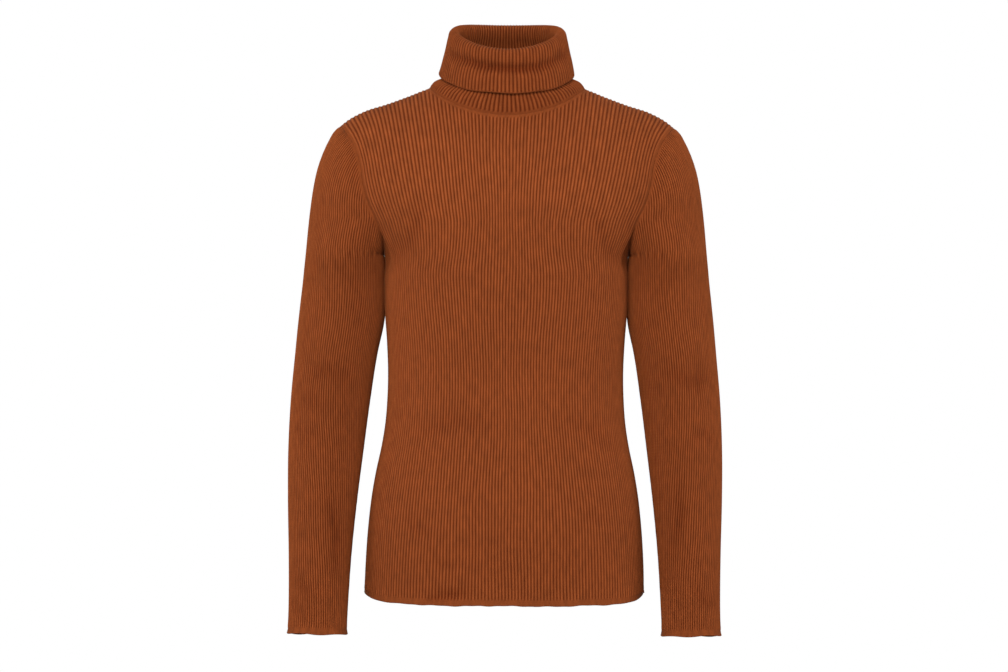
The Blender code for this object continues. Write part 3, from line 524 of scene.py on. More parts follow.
SLEEVE = (
    SleeveSection(-704.5, 276.4, 203.6, -43, 44.0, 0.655, 0.10),
    SleeveSection(-664, 276.4, 201.8, -34.5, 45.5, 0.67, 0.08),
    SleeveSection(-600, 278.0, 198.4, -20, 49.5, 0.715, 0.05),
    SleeveSection(-534, 280.6, 192.6, -5, 54.5, 0.775, 0.03),
    SleeveSection(-470, 281.6, 185.4, 8, 60.0, 0.855, 0.0),
    SleeveSection(-404, 279.4, 177.5, 18, 66.0, 0.94, 0.0),
    SleeveSection(-342, 274.0, 168.2, 20, 72.0, 0.985, 0.0),
    SleeveSection(-305, 270.6, 160.4, 20.5, 76.0, 0.995, 0.0),
    SleeveSection(-278, 267.6, 157.8, 19.5, 79.0, 0.998, 0.0),
    SleeveSection(-250, 264.2, 158.2, 16.5, 82.5, 0.9993, 0.0),
    SleeveSection(-234, 262.4, 158.6, 13.0, 84.5, 0.9998, 0.0),
    SleeveSection(-216, 260.2, 159.5, 8, 86.0, 1.0, 0.0),
    SleeveSection(-198, 258.6, 159.5, 8, 87.0, 1.0, 0.0),
    SleeveSection(-184, 257.4, 159.5, 8, 87.6, 1.0, 0.0),
    SleeveSection(-170, 256.0, 159.5, 8, 88.4, 1.0, 0.0),
    SleeveSection(-150, 253.6, 159.5, 8, 90.0, 1.0, 0.0),
    SleeveSection(-128, 250.4, 159.5, 8, 87.5, 1.0, 0.0),
    SleeveSection(-104, 245.2, 159.5, 8, 79.5, 1.0, 0.0),
    SleeveSection(-82, 237.4, 159.5, 8, 66.0, 1.0, 0.0),
    SleeveSection(-68, 230.8, 159.5, 8, 52.3, 1.0, 0.0),
    SleeveSection(-57, 224.2, 159.5, 8, 34.5, 1.0, 0.0),
    SleeveSection(-49, 216.5, 159.5, 8, 0.0, 1.0, 0.0),
)


@dataclass
class SleeveForm:
    """The outside of the sleeve at +X, without its ribs.

    A cut is read at a height and at an even share of its length, from -1 at the underarm by way of
    the front to 0 at the outer edge, and by way of the back to 1. Above the underarm it is open, and
    its ends lie on the armhole.
    """

    armhole: Armhole
    sections: tuple[SleeveSection, ...] = SLEEVE
    underarm: float = -216.0
    top: float = -49.0
    cuff: float = -704.5
    fullest: float = 1.38
    ease_reach: float = 8.0

    def __post_init__(self) -> None:
        """Measures the cuts and the share of the ribs that each height keeps.

        Above the underarm the armhole ends ribs as the cut shortens, and the others run on straight.
        """
        self.heights = column(self.sections, "height")
        self.places = np.linspace(0, 1, 400)
        self.levels = {s: self.armhole.at(s, self.places)[:, 2] for s in Side}
        self.even = {
            s: EvenCurve(lambda h, u, s=s: self.section(s, h, u), self.cuff - 2, self.top, 420)
            for s in Side
        }
        self.fine = np.linspace(self.cuff, self.top, 800)
        ribs = through(self.heights, column(self.sections, "ribs"), self.fine)
        below = self.fine <= self.underarm
        ribs[below] = np.maximum.accumulate(ribs[below])
        length = self.cut_lengths(np.append(self.underarm, self.fine[~below]))
        ribs[~below] = np.minimum.accumulate(length[1:] / length[0])
        self.ribs = np.clip(ribs, 0, 1)

    def cut_lengths(self, height: Array) -> Array:
        """The length of the open cut at each height, as the mean of its two halves."""
        u = np.linspace(0, 1, 80)[None, :]
        halves = [np.diff(self.section(s, height[:, None], u), axis=1) for s in Side]
        return sum(np.linalg.norm(half, axis=2).sum(axis=1) for half in halves) / 2

    def read(self, name: str, height: Array) -> Array:
        """One size of the cut at a height."""
        return through(self.heights, column(self.sections, name), height)

    def seam(self, side: Side, height: Array) -> tuple[Array, Array]:
        """The armhole at a height, as x and as how far it is from the middle."""
        levels = -np.minimum.accumulate(self.levels[side])
        point = self.armhole.at(side, np.interp(-height, levels, self.places))
        return point[..., 0], np.abs(point[..., 1] - self.armhole.middle_y)

    def section(self, side: Side, height: Array, u: Array) -> Array:
        """Half a cut, from the outer edge (0) to the inner one (1), tipped by its tilt.

        The whole half is the cubic curve 3 v (1 - v) deep. Above the underarm it ends where it is as
        deep as the armhole, its inner edge is placed so that it passes through the armhole there, and
        within a few millimetres of the underarm it keeps to the ring below.
        """
        height = np.asarray(height, float)
        names = ("outer", "inner", "middle", "reach")
        outer, inner, middle, reach = (self.read(name, height) for name in names)
        x_seam, depth = self.seam(side, height)
        above = height >= self.underarm
        depth = np.where(above, depth, 0.0)
        reach = np.maximum(reach, depth * self.fullest)
        part = depth / (3 * np.maximum(reach, 1e-6))
        gone = 0.5 - np.sqrt(np.maximum(0.25 - part, 0))
        passed = gone**2 * (3 - 2 * gone)
        fitted = (x_seam - outer * passed) / (1 - passed)
        ease = np.where(above, np.exp(-np.abs(height - self.underarm) / self.ease_reach), 1.0)
        edge = inner * ease + fitted * (1 - ease)
        v = u * (1 - gone)
        x = bezier(outer, outer, edge, edge, v)
        miss = x_seam - bezier(outer, outer, edge, edge, 1 - gone)
        x = x + np.where(above, miss, 0.0) * blend(0.5, 1.0, u)
        y = middle + side.value * 3 * reach * v * (1 - v)
        z = height - self.read("tilt", height) * (y - middle)
        return np.stack(np.broadcast_arrays(x, y, z), axis=-1)

    def __call__(self, share: Array, height: Array) -> Array:
        """A point of the sleeve."""
        share, height = paired(share, height)
        front, back = (self.section(s, height, self.even[s](height, np.abs(share))) for s in Side)
        return np.where((share < 0)[..., None], front, back)

    def normal(self, share: Array, height: Array) -> Array:
        """Out of the cloth, from the steps to a neighbour each way."""
        share, height = paired(share, height)
        left, right = np.maximum(share - 0.02, -1), np.minimum(share + 0.02, 1)
        down, top = np.maximum(height - 2, self.cuff), np.minimum(height + 2, self.top)
        wide = self(right, height) - self(left, height)
        tall = self(share, top) - self(share, down)
        return unit(np.cross(wide, tall))

    def ends(self, rib: Array) -> tuple[Array, Array]:
        """The heights of a rib's upper end, on the armhole, and its lower one, at cuff or seam."""
        below = self.fine <= self.underarm
        top = np.interp(-np.abs(rib), -self.ribs[~below], self.fine[~below])
        top = np.where(np.abs(rib) >= 1, self.underarm, top)
        return top, np.interp(np.abs(rib), self.ribs[below], self.fine[below])

    def share(self, rib: Array, height: Array) -> Array:
        """The share of the cut at which a rib passes a height."""
        left = np.maximum(np.interp(height, self.fine, self.ribs), 1e-6)
        return np.clip(rib / left, -1, 1)


class CollarRing(NamedTuple):
    """A ring of the roll neck, in the middle of its wall, in order along the folded cloth."""

    half_width: float
    front_y: float
    back_y: float
    front_z: float
    side_z: float
    back_z: float


COLLAR = (
    CollarRing(100.7, -63.0, 71.2, -39.0, 0.6, 8.6),
    CollarRing(94.0, -66.5, 66.5, -27.0, 8.6, 18.5),
    CollarRing(81.0, -69.5, 60.0, -12.5, 14.5, 28.5),
    CollarRing(74.5, -67.5, 52.5, 4.5, 33.0, 47.0),
    CollarRing(67.4, -63.0, 43.5, 20.5, 51.0, 63.0),
    CollarRing(63.2, -59.5, 34.0, 32.6, 64.0, 75.8),
    CollarRing(64.2, -60.2, 32.0, 40.2, 71.2, 82.8),
    CollarRing(68.4, -65.0, 36.5, 43.6, 74.6, 86.2),
    CollarRing(73.2, -70.6, 42.0, 40.6, 71.6, 82.8),
    CollarRing(75.4, -73.2, 45.6, 33.4, 64.2, 75.0),
    CollarRing(78.8, -74.0, 53.0, 19.0, 49.4, 61.4),
    CollarRing(82.8, -74.8, 59.5, 3.0, 33.5, 46.5),
    CollarRing(86.8, -75.8, 65.5, -13.6, 16.5, 31.0),
)


@dataclass
class CollarForm:
    """The roll neck, in the middle of its wall.

    along runs from the neck seam (0) to the free edge (1).
    """

    neck: NeckLine
    panels: dict[Side, PanelForm]
    wall: float
    seam_gap: float
    rings: tuple[CollarRing, ...] = COLLAR
    seat_ring: int = 3

    def __post_init__(self) -> None:
        """Measures the way along the folded cloth and the neck seam of the two panels."""
        side = np.stack([column(self.rings, "half_width"), column(self.rings, "side_z")], axis=1)
        self.places = chord_places(side)
        front = self.panels[Side.FRONT]
        across = np.linspace(0, front.neck_point, 60)
        points = np.concatenate(
            [front(across, front.top), self.panels[Side.BACK](across[-2::-1], front.top)]
        )
        self.seam_angles, self.seam_points = self.neck.angle(points), points

    def neck_seam(self, angle: Array) -> Array:
        """A point of the neck seam: a smooth curve through the panels' upper edges."""
        angle = (np.asarray(angle, float) + np.pi) % (2 * np.pi) - np.pi
        point = through(self.seam_angles, self.seam_points, np.abs(angle))
        point[..., 0] *= np.where(angle < 0, -1, 1)
        return point

    def ring(self, angle: Array, along: Array) -> Array:
        """A point of a ring: an oval in plan, with a saddle in its height."""
        angle, along = paired(angle, along)
        size = {n: through(self.places, column(self.rings, n), along) for n in CollarRing._fields}
        middle = (size["back_y"] + size["front_y"]) / 2
        reach = (size["back_y"] - size["front_y"]) / 2
        ends = (size["front_z"] + size["back_z"]) / 2
        tip = (size["front_z"] - size["back_z"]) / 2
        level, saddle = (ends + size["side_z"]) / 2, (ends - size["side_z"]) / 2
        x = size["half_width"] * np.sin(angle)
        z = level + tip * np.cos(angle) + saddle * np.cos(2 * angle)
        return np.stack([x, middle - reach * np.cos(angle), z], axis=-1)

    def seam(self, angle: Array) -> Array:
        """Where the middle of the wall meets the neck seam, clear of the panels by half the gap."""
        along = unit(self.neck_seam(angle + 0.01) - self.neck_seam(angle - 0.01))
        out = self.neck.out(angle)
        up = unit(np.cross(along, out))
        up = up * np.sign(up[..., 2:3])
        return self.neck_seam(angle) - out * self.wall / 2 + up * self.seam_gap / 2

    def __call__(self, angle: Array, along: Array) -> Array:
        """A point of the roll neck: the ring, drawn to the neck seam at its lower end."""
        angle, along = paired(angle, along)
        miss = self.seam(angle) - self.ring(angle, np.zeros_like(along))
        near = (1 - blend(0, self.places[self.seat_ring], along))[..., None]
        return self.ring(angle, along) + miss * near

    def normal(self, angle: Array, along: Array) -> Array:
        """Out of the cloth on its lower layer, which is inwards where it is folded over."""
        angle, along = paired(angle, along)
        wide = self(angle + 0.02, along) - self(angle - 0.02, along)
        above, below = np.minimum(along + 0.01, 1), np.maximum(along - 0.01, 0)
        out = unit(np.cross(wide, self(angle, above) - self(angle, below)))
        seam = (1 - blend(0, 0.05, along))[..., None]
        return unit(out * (1 - seam) + self.neck.out(angle) * seam)


# The cloth


@dataclass(frozen=True)
class Crease:
    """A soft ridge of the cloth along a line drawn on its piece, or a trough where height is below 0.

    The line's points are sideways and up, in the piece's own measure.
    """

    line: tuple[tuple[float, float], ...]
    height: float
    width: float

    def relief(self, sideways: Array, up: Array) -> Array:
        """How far the crease moves the cloth.

        It is the height times a bell of the distance from the line, and dies away to both ends.

        Args:
            sideways: the grid's places across.
            up: the grid's heights.

        Returns:
            Millimetres out of the cloth.
        """
        line = np.array(self.line, float)
        length = np.concatenate([[0.0], np.cumsum(np.linalg.norm(np.diff(line, axis=0), axis=1))])
        best = np.full(np.shape(sideways), np.inf)
        place = np.zeros(np.shape(sideways))
        for k, (a, b) in enumerate(zip(line[:-1], line[1:])):
            step = b - a
            t = ((sideways - a[0]) * step[0] + (up - a[1]) * step[1]) / step.dot(step)
            t = np.clip(t, 0, 1)
            away = np.hypot(sideways - a[0] - t * step[0], up - a[1] - t * step[1])
            closer = away < best
            best = np.where(closer, away, best)
            place = np.where(closer, length[k] + t * (length[k + 1] - length[k]), place)
        fade = np.sin(np.pi * np.clip(place / length[-1], 0, 1)) ** 0.8
        return self.height * np.exp(-((best / self.width) ** 2)) * fade


@dataclass(frozen=True)
class RibCloth:
    """The knitted wall: its thickness, its ribs and how it is sewn."""

    wall: float = 1.8
    rib_height: float = 1.0
    inner_rib_height: float = 0.45
    seam_gap: float = 0.3
    points_per_rib: int = 6
    inner_step: int = 3
    stitch: float = 1.9
    # Painted shading: plain cloth gets a mid value, and each millimetre of a crease trough's depth
    # darkens it as painted shade.
    plain_shading: float = 0.6
    trough_shade: float = 0.13
    inner_tones: tuple[float, float] = (0.3, 0.4)
    edge_round: float = 0.9

    def rounding(self, from_edge: Array) -> Array:
        """How much each face draws in beside a free edge, which makes the edge round."""
        near = np.clip(1 - from_edge / self.edge_round, 0, 1)
        return self.wall / 2 * (1 - np.sqrt(1 - near**2))

    def faces(
        self, base: Array, out: Array, ribs: Array, profile: Array, rounding: Array
    ) -> tuple[Array, Array]:
        """The ribbed outside, and the inside with lower ribs under the grooves."""
        outside = base + out * (ribs * profile * self.rib_height - rounding)[..., None]
        inner_rib = ribs * (1 - profile) * self.inner_rib_height
        return outside, base - out * (self.wall + inner_rib - rounding)[..., None]

    def inner_tone(self, ribs: Array) -> Array:
        """How light the yarn lies inside."""
        plain, ribbed = self.inner_tones
        return ribs * ribbed + plain

    def spread(self, coarse: Array, count: int) -> Array:
        """The inner columns, each repeated for the outer ones nearest to it."""
        return coarse[:, np.round(np.arange(count) / self.inner_step).astype(int)]

    def tone(self, ribs: Array, profile: Array, folds: Array) -> Array:
        """Painted shading: dark in the rib's groove and light on its ridge, a mid value where plain,
        and painted shade down in a crease trough.
        """
        light = ribs * profile + (1 - ribs) * self.plain_shading
        return np.maximum(light - self.trough_shade * np.maximum(-folds, 0), 0.0)

    def profile(self, rib: Array) -> Array:
        """The rib's height from 0 to 1, with a groove at each whole number."""
        return np.abs(np.sin(np.pi * rib)) ** 1.5


class Shell:
    """The points, triangles, painted shading values and map of one closed piece, gathered patch by
    patch.
    """

    def __init__(self) -> None:
        """Starts empty."""
        self.points: list[Array] = []
        self.ridges: list[Array] = []
        self.corners: list[Array] = []
        self.maps: list[Array] = []
        self.count = 0

    def add(self, points: Array, ridge: Array) -> Array:
        """Adds points with the value that paints shade on each, darker in grooves and troughs, and
        gives their numbers.
        """
        flat = np.asarray(points, float).reshape(-1, 3)
        self.points.append(flat)
        self.ridges.append(np.broadcast_to(ridge, points.shape[:-1]).reshape(-1))
        numbers = np.arange(self.count, self.count + len(flat)).reshape(points.shape[:-1])
        self.count += len(flat)
        return numbers

    def grid(self, ids: Array, at: Array) -> None:
        """Two triangles for each cell of a grid whose corners are all there, with their map."""
        cells = np.stack([ids[:-1, :-1], ids[:-1, 1:], ids[1:, 1:], ids[1:, :-1]], axis=-1)
        places = np.stack([at[:-1, :-1], at[:-1, 1:], at[1:, 1:], at[1:, :-1]], axis=-2)
        cells, places = cells.reshape(-1, 4), places.reshape(-1, 4, 2)
        there = (cells >= 0).all(axis=1)
        cells, places = cells[there], places[there]
        for corners in ([0, 1, 2], [0, 2, 3]):
            three = cells[:, corners]
            apart = (three[:, 0] != three[:, 1]) & (three[:, 1] != three[:, 2])
            apart &= three[:, 0] != three[:, 2]
            self.corners.append(three[apart])
            self.maps.append(places[:, corners][apart])

    def rim(self, outer: Array, inner: Array, at: Array) -> None:
        """The strip that joins two faces along an edge."""
        self.grid(np.stack([outer, inner]), np.stack([at, at]))

    def build(self, name: str, mirrored: bool = False) -> bpy.types.Object:
        """Makes the object.

        Args:
            name: the piece's name.
            mirrored: whether it is turned over to -X.

        Returns:
            The object, closed, smooth and with its faces outwards.
        """
        points = np.concatenate(self.points) * MM
        if mirrored:
            points[:, 0] *= -1
        used, corners = np.unique(np.concatenate(self.corners), return_inverse=True)
        corners = corners.reshape(-1, 3)
        mesh = bpy.data.meshes.new(name)
        mesh.vertices.add(len(used))
        mesh.vertices.foreach_set("co", points[used].astype(np.float32).reshape(-1))
        mesh.loops.add(corners.size)
        mesh.loops.foreach_set("vertex_index", corners.astype(np.int32).reshape(-1))
        mesh.polygons.add(len(corners))
        mesh.polygons.foreach_set("loop_start", np.arange(0, corners.size, 3, dtype=np.int32))
        mesh.update(calc_edges=True)
        layer = mesh.uv_layers.new(name="Knit")
        places = np.concatenate(self.maps).astype(np.float32)
        layer.data.foreach_set("uv", places.reshape(-1))
        ridge = mesh.attributes.new("ridge", "FLOAT", "POINT")
        ridge.data.foreach_set("value", np.concatenate(self.ridges)[used].astype(np.float32))
        mesh.validate()
        work = bmesh.new()
        work.from_mesh(mesh)
        bmesh.ops.recalc_face_normals(work, faces=work.faces)
        work.to_mesh(mesh)
        work.free()
        mesh.shade_smooth()
        mesh.set_sharp_from_angle(angle=np.radians(66))
        piece = bpy.data.objects.new(name, mesh)
        bpy.context.scene.collection.objects.link(piece)
        return piece


class Band(NamedTuple):
    """An edge of a piece, as the ribs and the wall near it need it.

    points and out run along the edge. plain is where the ribs have faded out, as a distance, and
    full where they stand again. roll is how far the plain cloth by the seam stands out.
    """

    points: Array
    out: Array
    plain: float
    full: float
    roll: Array


@dataclass
class EdgeWork:
    """What the edges of a piece do to its ribs, its normals and its relief."""

    bands: list[Band]
    turn_reach: float = 12.0

    def apply(self, points: Array, own: Array) -> tuple[Array, Array, Array]:
        """Reads every band on a grid.

        Near an edge the cloth turns to the edge's shared way out, by the square of how near it is.
        The ribs fade by the product of all the bands, and a roll stands beside each seam.

        Args:
            points: the grid's points.
            own: the grid's own normals.

        Returns:
            The normals, how much of the ribs is left, and the relief of the seam rolls.
        """
        left = np.ones(points.shape[:-1])
        relief = np.zeros(points.shape[:-1])
        kept = np.ones(points.shape[:-1])
        out = np.zeros_like(points)
        for band in self.bands:
            away, number = nearest(points, band.points)
            left = left * blend(band.plain, band.full, away)
            near = (1 - blend(band.plain * 0.45, band.full, away)) * band.roll[number]
            relief = np.maximum(relief, near)
            weight = np.clip(1 - away / self.turn_reach, 0, 1) ** 2
            out = out + band.out[number] * weight[..., None]
            kept = kept * (1 - weight)
        return unit(own * kept[..., None] + out), left, relief

    def away(self, points: Array, *seams: tuple[int, float, float]) -> Array:
        """A share that rises from 0 to 1 away from seams: the band, and where it starts and ends."""
        share = 1.0
        for band, start, end in seams:
            share = share * blend(start, end, nearest(points, self.bands[band].points)[0])
        return share


def part_way(edge: Array, inward: Array, gap: float) -> Array:
    """Half the seam gap, square to an edge and towards the inside of its piece."""
    along = unit(np.gradient(edge, axis=0))
    inward = inward - along * np.sum(inward * along, axis=-1, keepdims=True)
    return unit(inward) * gap / 2


def rows_between(low: float, high: float, low_fine: tuple, high_fine: tuple, step: float) -> Array:
    """Heights from low to high: set distances from each end, and even steps between.

    Args:
        low: the lowest height.
        high: the highest height.
        low_fine: distances above low that have a row, rising from 0.
        high_fine: distances below high that have a row, falling to 0.
        step: about how far apart the other rows are.

    Returns:
        The heights, rising.
    """
    first, last = low + low_fine[-1], high - high_fine[0]
    count = max(2, int(round((last - first) / step)) + 1)
    middle = np.linspace(first, last, count)
    low_rows = low + np.array(low_fine[:-1])
    high_rows = high - np.array(high_fine[1:])
    return np.concatenate([low_rows, middle, high_rows])


# The pieces


@dataclass
class BodyPanel:
    """The front or the back of the sweater as sewn: ribs, edges, creases and its wall."""

    name: str
    form: PanelForm
    cloth: RibCloth
    creases: tuple[Crease, ...]
    flat: tuple[float, float]
    flat_area: float
    ribs_half: int = 58
    row_step: float = 9.0
    edge_rows: tuple[float, ...] = (0.0, 0.5, 1.1, 2.2, 3.6, 5.0, 6.4, 8.0, 10.5, 14.0)
    seam_rows: tuple[float, ...] = (14.0, 11.0, 9.0, 7.3, 5.8, 4.4, 3.0, 1.5, 0.0)
    neck_plain: tuple[float, float, float] = (3.0, 5.6, 1.0)
    armhole_plain: tuple[float, float, float] = (2.6, 5.6, 0.5)
    shoulder_plain: tuple[float, float, float] = (1.2, 3.6, 0.2)
    side_plain: tuple[float, float, float] = (0.5, 5.0, 0.0)
    hem_plain: tuple[float, float] = (5.4, 8.4)
    hem_places: tuple[float, ...] = (0.0, 60.0, 110.0, 143.0, 160.0, 172.0, 182.0)
    hem_dips: tuple[float, ...] = (-1.9, -2.0, -2.3, -2.3, -0.9, 1.8, 4.6)

    def edges(self) -> EdgeWork:
        """The seams round the panel, each with its shared way out of the cloth."""
        form, bands = self.form, []
        place = np.linspace(0, 1, 380)
        seam = form.armhole.at(form.side, place)
        out = form.armhole.out(form.side, place, 1.0)
        plain, full, roll = self.armhole_plain
        flat_under = 1 - blend(0.55, 0.85, place)
        across = np.linspace(form.neck_point, form.armhole_line, 160)
        shoulder = form(across, form.top)
        share = ((across - across[0]) / (across[-1] - across[0]))[:, None]
        up = form.neck.out(np.array(np.pi / 2)) * (1 - share)
        up = unit(up + np.array(form.armhole.shoulder_up) * share)
        side = form(np.ones(400), np.linspace(form.hem, form.corner, 400))
        for turn in (1, -1):
            way = np.array([turn, 1.0, 1.0])
            bands.append(Band(seam * way, out * way, plain, full, roll * flat_under))
            low, high, stands = self.shoulder_plain
            bands.append(Band(shoulder * way, up * way, low, high, np.full(len(up), stands)))
            low, high, stands = self.side_plain
            outwards = np.tile([turn, 0.0, 0.0], (len(side), 1))
            bands.append(Band(side * way, outwards, low, high, np.zeros(len(side))))
        across = np.linspace(-form.neck_point, form.neck_point, 420)
        neck = form(across, form.top)
        plain, full, roll = self.neck_plain
        out = form.neck.out(form.neck.angle(neck))
        bands.append(Band(neck, out, plain, full, np.full(len(neck), roll)))
        return EdgeWork(bands)

    def drift(self, across: Array, up: Array) -> Array:
        """How far the ribs wander sideways: two slow sines, none at the armholes and the sides."""
        free = np.clip(1 - (across / self.form.armhole_line) ** 2, 0, 1)
        slow = np.sin(2 * np.pi * (up / 233 + across * 1.1) + 0.8)
        quick = np.sin(2 * np.pi * (up / 107 - across * 2.3) + 2.1)
        return free * (0.7 * slow + 0.3 * quick) * 0.26 / self.ribs_half

    def build(self) -> bpy.types.Object:
        """Makes the panel: a fine ribbed outside, a coarser inside and a rim all round."""
        form, cloth = self.form, self.cloth
        half = cloth.points_per_rib * self.ribs_half
        number = np.arange(-half, half + 1)
        across = number / half
        low_rows = rows_between(
            form.hem, form.corner, self.edge_rows, (12.0, 9.0, 6.5, 4.3, 2.1, 0.0), self.row_step
        )
        high_rows = rows_between(
            form.corner, form.top, (0.0, 4.0, 8.0), self.seam_rows, self.row_step
        )
        rows = np.concatenate([low_rows, high_rows[1:]])
        lower, top = len(low_rows) - 1, len(rows) - 1
        inset = int(round(form.armhole_line * half))
        left, right, last = half - inset, half + inset, 2 * half
        there = (rows[:, None] <= form.corner) | (np.abs(number)[None, :] <= inset)

        acr, up = np.broadcast_arrays(across[None, :], rows[:, None])
        plain = form(acr + self.drift(acr, up), up)
        own = form.normal(acr, up)
        edges = self.edges()
        out, ribs, relief = edges.apply(plain, own)
        from_hem = np.maximum(plain[..., 2] - form.hem, 0)
        ribs = ribs * blend(*self.hem_plain, from_hem)
        relief = relief + self.hem_relief(plain, from_hem)
        fade = edges.away(plain, (0, 6, 26), (3, 6, 26), (-1, 4, 22))
        fade = fade * blend(1.0, 0.9, np.abs(acr))
        folds = sum(crease.relief(plain[..., 0], plain[..., 2]) for crease in self.creases) * fade
        relief = relief + folds
        profile = cloth.profile(acr * self.ribs_half)
        base = plain + out * relief[..., None]
        base[..., 2] += self.hem_drop(plain[..., 0]) * np.exp(-from_hem / 9.0)
        base = base + self.shift(base, lower, left, right)
        rounding = cloth.rounding(from_hem)
        outside, inside = cloth.faces(base, out, ribs, profile, rounding)
        # Painted shade: darker in the rib grooves and down in the crease troughs.
        tone = cloth.tone(ribs, profile, folds)

        shell = Shell()
        outer_ids = np.where(there, shell.add(outside, tone), -1)
        step = cloth.inner_step
        inner_ids = shell.add(inside[:, ::step], cloth.inner_tone(ribs[:, ::step]))
        coarse = np.where(there[:, ::step], inner_ids, -1)
        expanded = cloth.spread(coarse, last + 1)
        at = np.stack([acr * self.ribs_half, plain[..., 2] / cloth.stitch], axis=-1)
        shell.grid(outer_ids, at)
        shell.grid(coarse, at[:, ::step])
        r, c = self.outline(lower, top, left, right, last)
        shell.rim(outer_ids[r, c], expanded[r, c], at[r, c])
        return shell.build(self.name)

    def outline(self, lower: int, top: int, left: int, right: int, last: int) -> tuple[Array, Array]:
        """The rows and columns of the grid round the panel's edge, back to where they began."""
        runs = [
            [(0, c) for c in range(last)],
            [(r, last) for r in range(lower)],
            [(lower, c) for c in range(last, right, -1)],
            [(r, right) for r in range(lower, top)],
            [(top, c) for c in range(right, left, -1)],
            [(r, left) for r in range(top, lower, -1)],
            [(lower, c) for c in range(left, 0, -1)],
            [(r, 0) for r in range(lower, -1, -1)],
        ]
        r, c = np.array([place for run in runs for place in run]).T
        return r, c

    def shift(self, base: Array, lower: int, left: int, right: int) -> Array:
        """Half the seam gap at every edge but the hem."""
        gap, move = self.cloth.seam_gap, np.zeros_like(base)
        for outer, inner, turn in ((base.shape[1] - 1, right, 1), (0, left, -1)):
            side = base[: lower + 1, outer]
            move[: lower + 1, outer] += part_way(side, base[: lower + 1, outer - turn] - side, gap)
            arm = base[lower:, inner]
            move[lower:, inner] += part_way(arm, base[lower:, inner - turn] - arm, gap)
            end = outer + 1 if turn == 1 else None
            run = slice(inner + turn, end, turn)
            under = base[lower, run]
            move[lower, run] += part_way(under, base[lower - 1, run] - under, gap)
        top = base[-1, left : right + 1]
        move[-1, left : right + 1] += part_way(top, base[-2, left : right + 1] - top, gap)
        return move

    def hem_relief(self, plain: Array, from_hem: Array) -> Array:
        """The hem's plain edge: a low welt, and a slight outward wave that dies away upwards."""
        x = plain[..., 0] * self.form.side.value
        wave = waves(x, (0.9, 83.0, 0.12), (0.6, 37.0, 0.55), (0.3, 19.0, 0.2))
        welt = 0.45 * (1 - blend(*self.hem_plain, from_hem))
        return welt + (wave + 0.4) * np.exp(-from_hem / 13.0)

    def hem_drop(self, x: Array) -> Array:
        """How far the hem's edge is out of level: it dips, and turns up beside the side seams."""
        dip = through(np.array(self.hem_places), np.array(self.hem_dips), np.abs(x))
        return dip + waves(x, (0.4, 121.0, 0.3), (0.35, 47.0, 0.1), (0.2, 21.0, 0.7))


